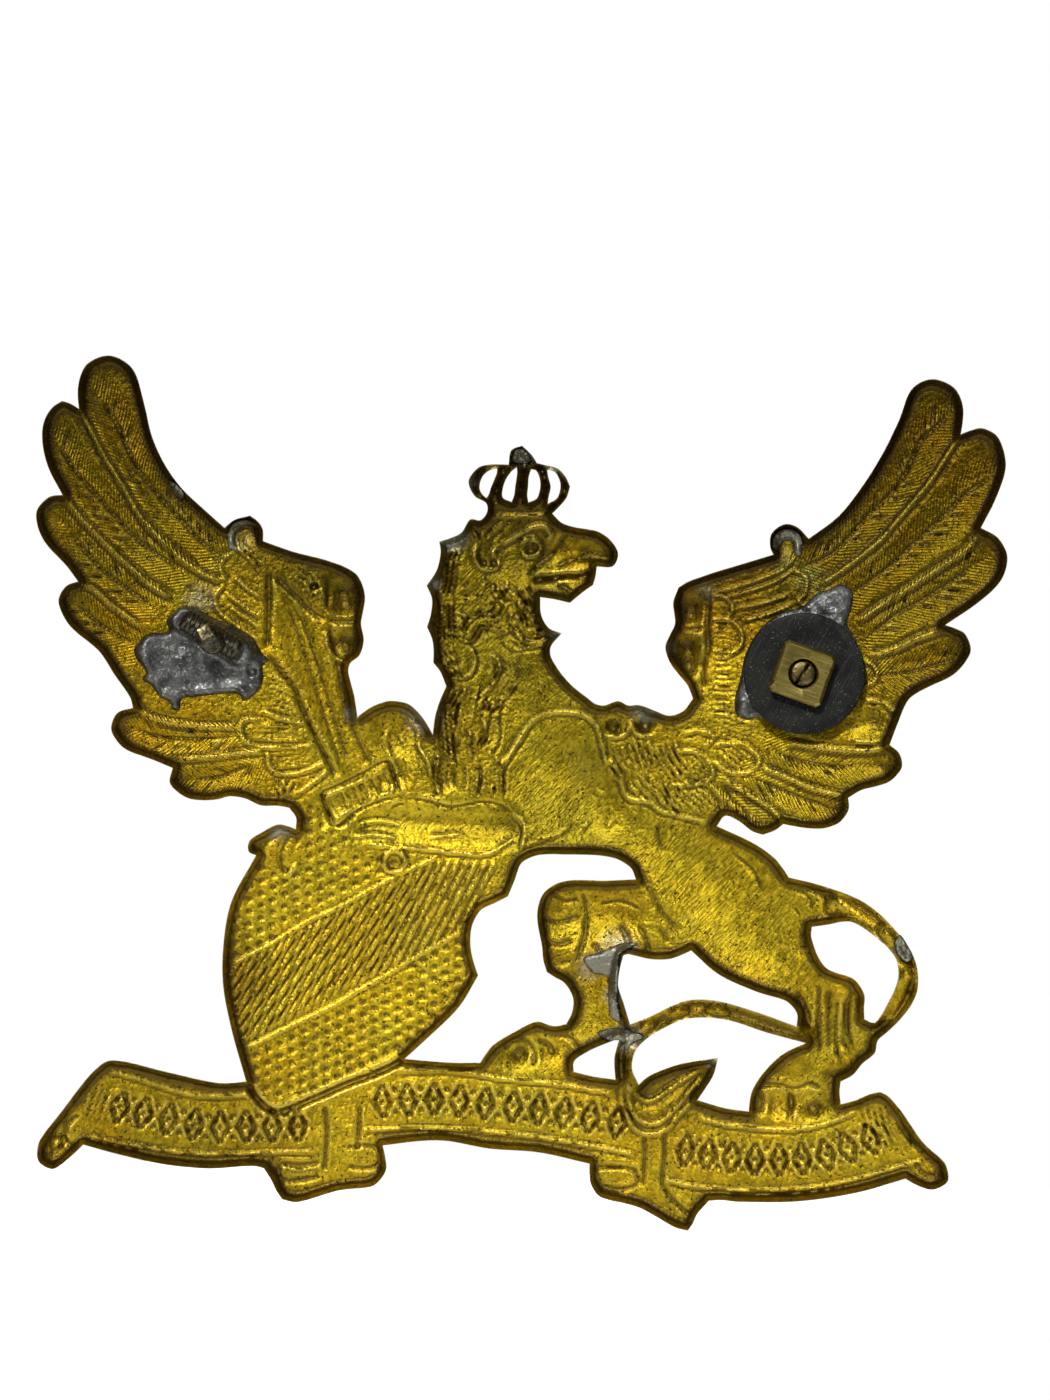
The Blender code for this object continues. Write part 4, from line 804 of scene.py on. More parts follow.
def put_attribute(mesh, name, values):
    """A number for every vertex, for the material to read."""
    layer = mesh.attributes.new(name, "FLOAT", "POINT")
    layer.data.foreach_set("value", np.asarray(values, np.float32))


def surface_marks(plan, triangles, height, rounds):
    """How sunk each point is against its surroundings, and how much it faces down."""
    edges = np.concatenate([triangles[:, [0, 1]], triangles[:, [1, 2]], triangles[:, [2, 0]]])
    count = np.bincount(edges.ravel(), minlength=len(plan)).astype(float)
    around = height.copy()
    for _ in range(rounds):
        total = np.bincount(edges[:, 0], around[edges[:, 1]], len(plan))
        total += np.bincount(edges[:, 1], around[edges[:, 0]], len(plan))
        around = total / np.maximum(count, 1)
    a, b, c = (plan[triangles[:, i]] for i in range(3))
    ha, hb, hc = (height[triangles[:, i]] for i in range(3))
    area = (b[:, 0] - a[:, 0]) * (c[:, 1] - a[:, 1]) - (c[:, 0] - a[:, 0]) * (b[:, 1] - a[:, 1])
    slope = ((b[:, 0] - a[:, 0]) * (hc - ha) - (c[:, 0] - a[:, 0]) * (hb - ha)) / np.where(area == 0, 1, area)
    slope = np.clip(slope, -6, 6)
    down = np.zeros(len(plan))
    shares = np.zeros(len(plan))
    for i in range(3):
        down += np.bincount(triangles[:, i], slope, len(plan))
        shares += np.bincount(triangles[:, i], minlength=len(plan))
    return around - height, down / np.maximum(shares, 1)


def blended(plan, spots, value):
    """Smoothly blended value of the nearest spots."""
    total = np.full(len(plan), 1e-9)
    summed = np.zeros(len(plan))
    for spot in spots:
        gap = np.hypot(plan[:, 0] - spot[0][0], plan[:, 1] - spot[0][1]) / spot[1]
        weight = np.exp(-1.2 * gap ** 2) + 1e-4 / (1 + gap ** 4)
        total += weight
        summed += weight * spot[value]
    return summed / total


def bloomed(plan, column):
    """The strongest bloom at every point; column 2 is grey and column 3 green."""
    amount = 0.0
    for spot in BLOOM:
        amount = np.maximum(amount, spot[column] * capsule(plan, spot[0], spot[0], 1.5 * spot[1]))
    return amount


def side_marks(relief, triangles, facing, rounds):
    """What the brass finish needs to know at every point of one side of the sheet."""
    sunk, down = surface_marks(relief.plan, triangles, relief.height, rounds)
    return {
        "rim": relief.rim,
        "sunk": facing * sunk,
        "down": facing * down,
        "tone": blended(relief.plan, TONES, 2),
        "warm": blended(relief.plan, TONES, 3),
        "grey": bloomed(relief.plan, 2),
        "green": bloomed(relief.plan, 3),
        "grain": relief.grain,
        "grained": relief.grain_amount,
        "fur": relief.fur,
        "faint_rim_shade": capsule(relief.plan, *FAINT_RIM_SHADE_ZONE),
    }


def build_plate(material):
    """The stamping as one closed sheet."""
    loops = [refine_loop(loop, RIM_STEP) for loop in rim_loops(frame["nodes"]["badge_plate"])]
    sides = []
    for step, finest in ((BACK_STEP, 0.0), (FRONT_STEP, FRONT_FINEST)):
        plan, triangles, edges = fill(loops, spread_points(loops, step))
        sides.append((struck_relief(plan, loops, finest), triangles))
    (back, back_faces), (front, front_faces) = sides
    back_places = world_points(back.plan, back.height)
    front_places = world_points(front.plan, front.height - SHEET)
    shift = len(back_places)
    faces = back_faces.tolist() + (front_faces[:, ::-1] + shift).tolist()
    faces += [[b, a, a + shift, b + shift] for a, b in edges]
    faces = turn_rim(faces, len(back_faces) + len(front_faces), back_faces)
    plate = add_piece("struck_plate", np.concatenate([back_places, front_places]), faces, material, 65)
    back_marks = side_marks(back, back_faces, 1, 3)
    front_marks = side_marks(front, front_faces, -1, 2)
    for name, values in back_marks.items():
        put_attribute(plate.data, name, np.concatenate([values, front_marks[name]]))
    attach(plate, "plate")
    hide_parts("badge_plate")
    return plate


def turn_rim(faces, first, back_faces):
    """The rim's side faces, wound to face out."""
    directed = {(face[i], face[(i + 1) % 3]) for face in back_faces.tolist() for i in range(3)}
    turned = faces[:first]
    for b, a, a_front, b_front in faces[first:]:
        if (a, b) in directed:
            turned.append([b, a, a_front, b_front])
        else:
            turned.append([a, b, b_front, a_front])
    return turned


# ---- solder ------------------------------------------------------------------------------------------
LEFT_POOL = [
    (-45.7, 1.6), (-44.8, 2.3), (-42.4, 2.6), (-42.7, 4.0), (-41.8, 5.0), (-41.0, 5.8), (-39.6, 5.8),
    (-36.8, 4.4), (-34.2, 3.4), (-31.6, 1.6), (-30.7, 0.2), (-29.9, -0.6), (-30.6, -1.2), (-30.5, -3.0),
    (-31.4, -4.8), (-33.0, -5.7), (-33.4, -5.0), (-35.2, -4.9), (-38.8, -5.4), (-40.5, -5.7),
    (-40.8, -7.1), (-41.6, -7.0), (-42.0, -6.1), (-43.2, -5.6), (-44.2, -4.2), (-45.4, -3.4),
    (-45.0, -2.6), (-46.3, -0.8), (-46.6, 0.2), (-46.1, 1.0),
]
RIGHT_POOL = [
    (36.0, 8.0), (37.8, 9.7), (39.2, 10.2), (40.6, 10.9), (42.1, 10.0), (42.1, 8.2), (41.6, 6.0),
    (42.8, 4.0), (42.8, 0.0), (40.4, -5.0), (35.0, -6.6), (31.0, -5.9), (29.8, -6.2), (28.3, -5.6),
    (28.0, -4.0), (28.6, -1.2), (29.2, 2.0), (31.0, 5.2), (33.6, 7.2),
]
DEPOSITS = {
    "hind_leg_solder": ([
        (10.2, -36.5), (12.2, -35.6), (15, -34.4), (17.0, -34.4), (15.4, -35.2), (14.6, -35.9),
        (14.6, -38.5), (14.5, -41.5), (14.9, -44.2), (13.8, -43.6), (13.4, -41.0), (13.2, -38.6),
        (11.4, -38.2)], 0.22),
    "tail_crossing_solder": ([
        (12.2, -45.6), (14.4, -44.9), (16.2, -45.2), (17.9, -45.9), (16.6, -46.7), (15.7, -47.6),
        (15.2, -46.5), (13.4, -46.4)], 0.25),
    "tail_solder_spot": ([
        (48.6, -33.2), (49.1, -32.2), (50.2, -33.6), (50.8, -34.9), (50.0, -35.6), (48.9, -34.4)], 0.3),
    "crown_orb_solder": ([
        (-0.4, 25.0), (0.6, 24.7), (1.7, 25.0), (1.3, 26.0), (0.6, 26.5), (-0.2, 26.1)], 0.3),
    "wing_edge_solder": ([
        (-42.9, 21.2), (-42.2, 21.0), (-40.9, 19.5), (-41.3, 19.0), (-42.4, 19.9)], 0.25),
    "left_curl_deposit": ([
        (-35.3, 13.2), (-35.4, 14.8), (-34.6, 16.2), (-33.0, 16.6), (-32.0, 16.1), (-33.4, 15.9),
        (-34.4, 15.0), (-34.4, 13.6), (-34.0, 12.8)], 0.2),
    "right_curl_deposit": ([
        (32.1, 15.2), (32.4, 16.8), (33.8, 17.5), (35.2, 17.0), (35.8, 15.6), (35.6, 14.2), (34.8, 14.6),
        (34.6, 15.8), (33.8, 16.2), (33.0, 15.6), (32.7, 14.9)], 0.28),
}


class Surface:
    """Height of the plate's hollow side at any plan point, read from its fine mesh."""

    def __init__(self, plate):
        places = [vertex.co for vertex in plate.data.vertices]
        self.tree = KDTree(len(places))
        self.heights = [p.y / MM for p in places]
        for i, p in enumerate(places):
            self.tree.insert((-p.x / MM, p.z / MM, 0.0), i)
        self.tree.balance()

    def __call__(self, plan):
        """The highest of the nearest few points, since the sheet's front lies below its back."""
        found = []
        for u, v in plan:
            near = self.tree.find_n((u, v, 0.0), 6)
            found.append(max(self.heights[i] for _, i, _ in near))
        return np.array(found)


def rough(plan, scale, seed):
    """Smooth seeded noise over plan points, about -1 to 1."""
    return np.array([noise.noise(Vector((u * scale, v * scale, seed))) for u, v in plan])


def mound(plan, centre, radius, height):
    """A small round mound."""
    return height * np.exp(-(np.hypot(plan[:, 0] - centre[0], plan[:, 1] - centre[1]) / radius) ** 2)


def solder_piece(name, node, outline, material, surface, profile, step, pale=0.0, holes=()):
    """Solder on the hollow side; profile gives its thickness from plan points and edge distance."""
    loops = [smooth_path(outline, 0.3, closed=True), *holes]
    plan, triangles, edges = fill(loops, spread_points(loops, step))
    edge = edge_distance(plan, loops[:1])
    ground = surface(plan)
    top = ground + profile(plan, edge)
    count = len(plan)
    places = np.concatenate([world_points(plan, top), world_points(plan, ground - 0.03)])
    faces = triangles.tolist() + (triangles[:, ::-1] + count).tolist()
    faces += [[b, a, a + count, b + count] for a, b in edges]
    faces = turn_rim(faces, 2 * len(triangles), triangles)
    piece = add_piece(name, places, faces, material, 80)
    put_attribute(piece.data, "edge", np.concatenate([edge, edge]))
    put_attribute(piece.data, "pale", np.full(2 * count, pale))
    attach(piece, "plate")
    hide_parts(node)


def build_solder(surface, material):
    """Both stud pools and the small repairs and deposits."""
    pool_step = 0.32
    deposit_step = 0.22
    bar = [np.array([-end.x, end.z]) / MM for end in bar_axis("left_cross_bar")[:2]]

    def left_profile(plan, edge):
        from_bar = path_distance(plan, bar)[0]
        fillet = 1.4 * np.exp(-(np.maximum(from_bar - 1.15, 0) / 0.6) ** 2)
        saucer = 0.4 + 0.22 * np.exp(-((edge - 0.7) / 0.5) ** 2) + 0.2 * eased(edge / 3)
        ridge = 0.5 * np.exp(-(np.hypot(plan[:, 0] + 45.0, (plan[:, 1] + 0.2) * 0.5) / 0.8) ** 2)
        ring = 0.5 * np.exp(-((np.hypot(plan[:, 0] + 31.9, plan[:, 1] + 1.9) - 1.0) / 0.4) ** 2)
        knob = mound(plan, (-32.9, -4.6), 0.7, 0.6)
        bead = mound(plan, (-40.7, -0.8), 0.3, 0.35)
        lumps = 0.16 * rough(plan, 0.55, 3.0) + 0.07 * rough(plan, 1.6, 8.0)
        return 0.08 + eased(edge / 0.35) * (saucer + fillet + ridge + ring + knob + bead + lumps)

    def right_profile(plan, edge):
        lumps = 0.16 * rough(plan, 0.8, 5.0) + 0.08 * rough(plan, 2.2, 9.0)
        glob = mound(plan, (29.2, -4.9), 0.8, 0.5)
        return 0.1 + eased(edge / 0.6) * (0.35 + lumps + glob)

    solder_piece("left_solder", "left_solder_pool", LEFT_POOL, material, surface, left_profile, pool_step)
    low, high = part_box("right_stud_base")
    centre = np.array([-(low.x + high.x) / 2, (low.z + high.z) / 2]) / MM
    boss = (high.x - low.x) / 2 / MM + 0.1
    hole = [centre + boss * np.array([math.cos(-a), math.sin(-a)]) for a in np.arange(0, 2 * math.pi, 0.1)]
    solder_piece("right_solder", "right_solder_pool", RIGHT_POOL, material, surface, right_profile, pool_step,
                 holes=[np.array(hole)])
    for seed, (node, (outline, thickness)) in enumerate(DEPOSITS.items()):

        def profile(plan, edge, seed=seed, thickness=thickness):
            lumps = 0.3 * rough(plan, 1.4, 20.0 + seed)
            return 0.04 + thickness * eased(edge / 0.45) * (1 + lumps)

        solder_piece(node + "_lump", node, outline, material, surface, profile, deposit_step, pale=1.0)


# ---- studs -------------------------------------------------------------------------------------------
def bar_axis(node):
    """Both ends and the radius of a straight round CAD bar."""
    places = np.array([vertex.co for vertex in frame["nodes"][node].data.vertices])
    middle = (places.min(axis=0) + places.max(axis=0)) / 2
    axis = np.linalg.svd(places - places.mean(axis=0), full_matrices=False)[2][0]
    if axis[1] < 0:
        axis = -axis
    along = (places - middle) @ axis
    radius = np.linalg.norm(places - middle - along[:, None] * axis, axis=1)
    start = Vector(middle + along.min() * axis)
    end = Vector(middle + along.max() * axis)
    return start, end, float(np.percentile(radius, 60))


def skin(name, rings, material, close_ends=True, smooth_angle=40):
    """A closed surface through rings of equal point count, in metres."""
    count = len(rings[0])
    places = [tuple(point) for ring in rings for point in ring]
    faces = []
    last = len(rings) if not close_ends else len(rings) - 1
    for r in range(last):
        low, high = r * count, ((r + 1) % len(rings)) * count
        for i in range(count):
            j = (i + 1) % count
            faces.append([low + i, low + j, high + j, high + i])
    if close_ends:
        faces.append(list(reversed(range(count))))
        faces.append([(len(rings) - 1) * count + i for i in range(count)])
    piece = add_piece(name, places, faces, material, smooth_angle)
    shape = bmesh.new()
    shape.from_mesh(piece.data)
    bmesh.ops.recalc_face_normals(shape, faces=shape.faces)
    shape.to_mesh(piece.data)
    shape.free()
    return piece


def thread(height, turn):
    """Depth of a rounded thread, 0 at the crest and 1 at the root."""
    return 0.5 - 0.5 * math.cos(2 * math.pi * (height / THREAD_PITCH - turn / (2 * math.pi)))


def threaded_bar(name, start, end, radius, material, ends, cut):
    """A round bar with a thread cut into it; ends lists (distance from its far end, share of its radius)."""
    axis = (end - start).normalized()
    across = axis.orthogonal().normalized()
    up = axis.cross(across)
    length = (end - start).length
    stations = [(0.0, 0.72), (0.0002, 0.9)]
    body = np.arange(0.0004, length - ends[0][0], THREAD_STEP)
    stations += [(float(s), 1.0) for s in body]
    stations += [(length - back, share) for back, share in ends]
    rings = []
    for s, share in stations:
        ring = []
        for i in range(BAR_SIDES):
            turn = 2 * math.pi * i / BAR_SIDES
            r = radius * share - cut * thread(s, turn) * (1.0 if share > 0.85 else 0.3)
            ring.append(start + axis * s + r * (math.cos(turn) * across + math.sin(turn) * up))
        rings.append(ring)
    return skin(name, rings, material)


def cut_away(piece, cutter):
    """Cuts one solid out of another and removes the cutter."""
    modifier = piece.modifiers.new("cut", "BOOLEAN")
    modifier.operation = "DIFFERENCE"
    modifier.solver = "EXACT"
    modifier.object = cutter
    bpy.context.view_layer.update()
    result = bpy.data.meshes.new_from_object(piece.evaluated_get(bpy.context.evaluated_depsgraph_get()))
    piece.modifiers.clear()
    piece.data = result
    bpy.data.objects.remove(cutter)


def box_cutter(centre, size, turn, material):
    """A box whose long side is turned in plan about the +y axis."""
    corners = []
    for h in (-0.5, 0.5):
        for a, b in ((-0.5, -0.5), (0.5, -0.5), (0.5, 0.5), (-0.5, 0.5)):
            u = a * size[0] * math.cos(turn) - b * size[1] * math.sin(turn)
            v = a * size[0] * math.sin(turn) + b * size[1] * math.cos(turn)
            corners.append(Vector((centre.x - u, centre.y + h * size[2], centre.z + v)))
    return skin("slot_cutter", [corners[:4], corners[4:]], material)


def build_left_stud(brass):
    """The threaded bar in its pool and the snapped stub that leans on it."""
    start, end, radius = bar_axis("left_cross_bar")
    ends = [(0.0004, 1.0), (0.0002, 0.9), (0.0, 0.72)]
    bar = threaded_bar("left_threaded_bar", start, end, radius, brass, ends, BAR_THREAD)
    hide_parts("left_cross_bar")
    start, end, radius = bar_axis("left_stud_stub")
    axis = (end - start).normalized()
    across = Vector((1, 0, 0)).cross(axis).normalized()
    up = axis.cross(across)
    length = (end - start).length
    rings = []
    # distance from the start, share of the radius, how square the nip has made it
    nipped = [(0.0, 0.8, 0), (0.0003, 0.96, 0)]
    nipped += [(float(s), 1.0, 0) for s in np.arange(0.0006, length - 0.0013, THREAD_STEP)]
    nipped += [(length - 0.0012, 0.9, 0.15), (length - 0.0008, 0.76, 0.5), (length - 0.0003, 0.65, 0.9),
               (length - 0.0001, 0.6, 1.0), (length, 0.5, 1.0)]
    nip_turn = 0.5
    nip_size = 0.86
    for s, share, square in nipped:
        ring = []
        for i in range(BAR_SIDES):
            turn = 2 * math.pi * i / BAR_SIDES
            pinch = 1.0 / max(abs(math.cos(turn - nip_turn)), abs(math.sin(turn - nip_turn))) * nip_size
            r = radius * share * (1 + square * (pinch - 1))
            if square == 0:
                r -= STUB_THREAD * thread(s, turn)
            ring.append(start + axis * s + r * (math.cos(turn) * across + math.sin(turn) * up))
        rings.append(ring)
    rings.append([end + (p - end) * 0.35 - axis * 0.00012 for p in rings[-1]])
    stub = skin("left_snapped_stub", rings, brass)
    along = np.array([(vertex.co - start).dot(axis) for vertex in stub.data.vertices])
    put_attribute(stub.data, "fresh", eased((along - (length - 0.00016)) / 0.0001))
    # the stub and the bar carry a darker stain that is partly painted shading
    put_attribute(stub.data, "stain_and_shading", np.full(len(along), 0.95))
    put_attribute(bar.data, "fresh", np.zeros(len(bar.data.vertices)))
    put_attribute(bar.data, "stain_and_shading", np.full(len(bar.data.vertices), 0.85))
    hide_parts("left_stud_stub")
    for piece in (bar, stub):
        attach(piece, "plate")


def turned_ring(name, centre, profile, material, sides, wobble=0.0):
    """A ring turned about +y from a closed (radius, height) profile in metres."""
    rings = []
    for radius, height in profile:
        ring = []
        for i in range(sides):
            turn = 2 * math.pi * i / sides
            bump = noise.noise(Vector((3 * math.cos(turn), 3 * math.sin(turn), height * 800)))
            r = radius * (1 + wobble * bump)
            ring.append(Vector((centre.x + r * math.cos(turn), height, centre.z + r * math.sin(turn))))
        rings.append(ring)
    return skin(name, rings, material, close_ends=False)


def rounded_profile(inner, outer, low, high, edge):
    """A ring's closed section with rounded corners."""
    section = []
    corners = ((outer, low, -90), (outer, high, 0), (inner, high, 90), (inner, low, 180))
    for radius, height, first in corners:
        cr = radius - edge if radius == outer else radius + edge
        ch = height + edge if height == low else height - edge
        for k in range(5):
            turn = math.radians(first + 22.5 * k)
            section.append((cr + edge * math.cos(turn), ch + edge * math.sin(turn)))
    return section


def build_washer(material):
    """The dark washer: rounded edges showing wear and a slightly dished back."""
    low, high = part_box("right_washer")
    centre = (low + high) / 2
    outer = (high.x - low.x) / 2
    places = np.array([vertex.co for vertex in frame["nodes"]["right_washer"].data.vertices])
    inner = float(np.hypot(places[:, 0] - centre.x, places[:, 2] - centre.z).min())
    section = rounded_profile(inner, outer, low.y, high.y, WASHER_EDGE)
    dish = [(outer - 0.0011, high.y), (outer - 0.0024, high.y - 0.00003), (inner + 0.0012, high.y - 0.00005)]
    section[10:10] = dish
    washer = turned_ring("dark_washer", centre, section, material, 160, 0.0035)
    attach(washer, "washer")
    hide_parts("right_washer")


def build_nut(material):
    """The square nut: clipped corners, broken edges, a countersunk threaded bore and one chipped corner."""
    node = frame["nodes"]["right_square_nut"]
    low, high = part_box("right_square_nut")
    places = np.array([vertex.co for vertex in node.data.vertices])
    axis = next(j for j in frame["joints"] if j["name"] == "nut_turn")["pos_m"]
    centre = Vector((axis[0], 0, axis[2]))
    offset = places[:, [0, 2]] - (centre.x, centre.z)
    reach = np.hypot(*offset.T)
    bore = float(reach.min())
    corners = np.unique(np.round(offset[reach > 1.2 * bore], 6), axis=0)
    corners = corners[np.argsort(np.arctan2(corners[:, 1], corners[:, 0]))]
    corner_turns = np.arctan2(corners[:, 1], corners[:, 0])
    turns = np.sort(np.concatenate([corner_turns, np.linspace(-math.pi, math.pi, 88)[:-1]]))

    def outline(turn):
        direction = np.array([math.cos(turn), math.sin(turn)])
        found = []
        for a, b in zip(corners, np.roll(corners, -1, axis=0)):
            side = b - a
            system = np.array([[direction[0], -side[0]], [direction[1], -side[1]]])
            if abs(np.linalg.det(system)) > 1e-12:
                far, share = np.linalg.solve(system, a)
                if far > 0 and -1e-6 <= share <= 1 + 1e-6:
                    found.append(far)
        return min(found)

    edges = np.array([outline(turn) for turn in turns])
    chip = 0.0003 * np.exp(-((turns + 0.27) / 0.07) ** 2)
    # height and inset of the outside's rings, then height and radius of the bore's
    outside = [(low.y, -0.0002), (low.y + 0.0001, -0.00003), (low.y + 0.0003, 0), (high.y - 0.00042, 0),
               (high.y - 0.00036, -0.00003), (high.y - 0.00006, -0.00032), (high.y, -0.00042)]
    inside = [(high.y, bore + 0.00008), (high.y - 0.00008, bore)]
    inside += [(float(h), bore) for h in np.arange(high.y - 0.0002, low.y + 0.0001, -THREAD_STEP)]
    inside.append((low.y, bore + 0.0002))
    sections = []
    for height, inset in outside:
        loss = chip if height > high.y - 0.0006 else 0.4 * chip
        sections.append((height, edges + inset - loss))
    for height, radius in inside:
        cut = NUT_THREAD if radius == bore else 0.0
        sections.append((height, [radius - cut * (1 - thread(height, turn)) for turn in turns]))
    rings = []
    for height, radii in sections:
        rings.append([Vector((centre.x + r * math.cos(turn), height, centre.z + r * math.sin(turn)))
                      for turn, r in zip(turns, radii)])
    nut = skin("square_nut", rings, material, close_ends=False, smooth_angle=30)
    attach(nut, "nut")
    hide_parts("right_square_nut")


def build_right_stud(brass):
    """The boss under the washer and the slotted, threaded post."""
    low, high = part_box("right_stud_base")
    centre = (low + high) / 2
    outer = (high.x - low.x) / 2
    section = [(0.00002, low.y), (outer - 0.0002, low.y), (outer, low.y + 0.0002), (outer, high.y - 0.0002),
               (outer - 0.0002, high.y), (0.00002, high.y)]
    boss = turned_ring("stud_boss", centre, section, brass, 64)
    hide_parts("right_stud_base")
    low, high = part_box("right_threaded_post")
    radius = (high.x - low.x) / 2
    start = Vector((centre.x, low.y, centre.z))
    end = Vector((centre.x, high.y, centre.z))
    ends = [(0.0005, 1.0), (0.00036, 0.99), (0.0002, 0.94), (0.0001, 0.87), (0.00004, 0.74), (0.0, 0.45)]
    post = threaded_bar("slotted_post", start, end, radius, brass, ends, POST_THREAD)
    cutter = box_cutter(end, (4 * radius, SLOT_WIDTH, 2 * SLOT_DEPTH), SLOT_TURN, brass)
    cut_away(post, cutter)
    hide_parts("right_threaded_post")
    for piece in (boss, post):
        put_attribute(piece.data, "fresh", np.zeros(len(piece.data.vertices)))
        put_attribute(piece.data, "stain_and_shading", np.zeros(len(piece.data.vertices)))
        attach(piece, "plate")


# ---- finishes ------------------------------------------------------------------------------------------
class Finish:
    """A Principled material built up from small shader steps; lengths are in millimetres."""

    def __init__(self, name, metallic, roughness):
        self.material = bpy.data.materials.new(name)
        self.material.use_nodes = True
        self.tree = self.material.node_tree
        self.shader = self.tree.nodes["Principled BSDF"]
        self.shader.inputs["Metallic"].default_value = metallic
        self.shader.inputs["Roughness"].default_value = roughness
        coordinates = self.tree.nodes.new("ShaderNodeTexCoord")
        scale = self.tree.nodes.new("ShaderNodeVectorMath")
        scale.operation = "SCALE"
        scale.inputs["Scale"].default_value = 1 / MM
        self.tree.links.new(coordinates.outputs["Object"], scale.inputs[0])
        self.place = scale.outputs[0]

    def feed(self, socket, value):
        """A link, a colour or a plain number into a socket."""
        if isinstance(value, bpy.types.NodeSocket):
            self.tree.links.new(value, socket)
        elif isinstance(value, tuple):
            socket.default_value = (*value, 1.0)
        else:
            socket.default_value = value

    def math(self, operation, a, b=0.0):
        """One step of arithmetic."""
        node = self.tree.nodes.new("ShaderNodeMath")
        node.operation = operation
        self.feed(node.inputs[0], a)
        self.feed(node.inputs[1], b)
        return node.outputs[0]

    def times(self, a, b):
        return self.math("MULTIPLY", a, b)

    def plus(self, a, b):
        return self.math("ADD", a, b)

    def ramp(self, value, low, high, start=0.0, end=1.0):
        """Start below low, end above high, eased between."""
        node = self.tree.nodes.new("ShaderNodeMapRange")
        node.interpolation_type = "SMOOTHSTEP"
        self.feed(node.inputs["Value"], value)
        for name, number in (("From Min", low), ("From Max", high), ("To Min", start), ("To Max", end)):
            node.inputs[name].default_value = number
        return node.outputs["Result"]

    def mix(self, share, a, b, blend="MIX"):
        """Colour a, with a share of colour b over it."""
        node = self.tree.nodes.new("ShaderNodeMix")
        node.data_type = "RGBA"
        node.blend_type = blend
        self.feed(node.inputs["Factor"], share)
        colours = [socket for socket in node.inputs if socket.type == "RGBA"]
        self.feed(colours[0], a)
        self.feed(colours[1], b)
        return next(socket for socket in node.outputs if socket.type == "RGBA")

    def noise(self, scale, detail=4.0, stretch=(1.0, 1.0, 1.0), turn=0.0):
        """Noise that a stretch above 1 makes finer along an axis, turned in the badge's plane by degrees."""
        mapping = self.tree.nodes.new("ShaderNodeMapping")
        mapping.vector_type = "TEXTURE"
        mapping.inputs["Scale"].default_value = tuple(1.0 / factor for factor in stretch)
        mapping.inputs["Rotation"].default_value = (0.0, math.radians(turn), 0.0)
        self.tree.links.new(self.place, mapping.inputs["Vector"])
        node = self.tree.nodes.new("ShaderNodeTexNoise")
        node.inputs["Scale"].default_value = scale
        node.inputs["Detail"].default_value = detail
        self.tree.links.new(mapping.outputs["Vector"], node.inputs["Vector"])
        return node.outputs["Fac"]

    def mark(self, name):
        """A number that the mesh carries at every point."""
        node = self.tree.nodes.new("ShaderNodeAttribute")
        node.attribute_name = name
        return node.outputs["Fac"]

    def finish(self, colour, roughness, height):
        """Colour, roughness and bump height in millimetres go to the shader."""
        bump = self.tree.nodes.new("ShaderNodeBump")
        bump.inputs["Distance"].default_value = MM
        self.feed(bump.inputs["Height"], height)
        self.tree.links.new(bump.outputs["Normal"], self.shader.inputs["Normal"])
        self.feed(self.shader.inputs["Base Color"], colour)
        self.feed(self.shader.inputs["Roughness"], roughness)
        return self.material


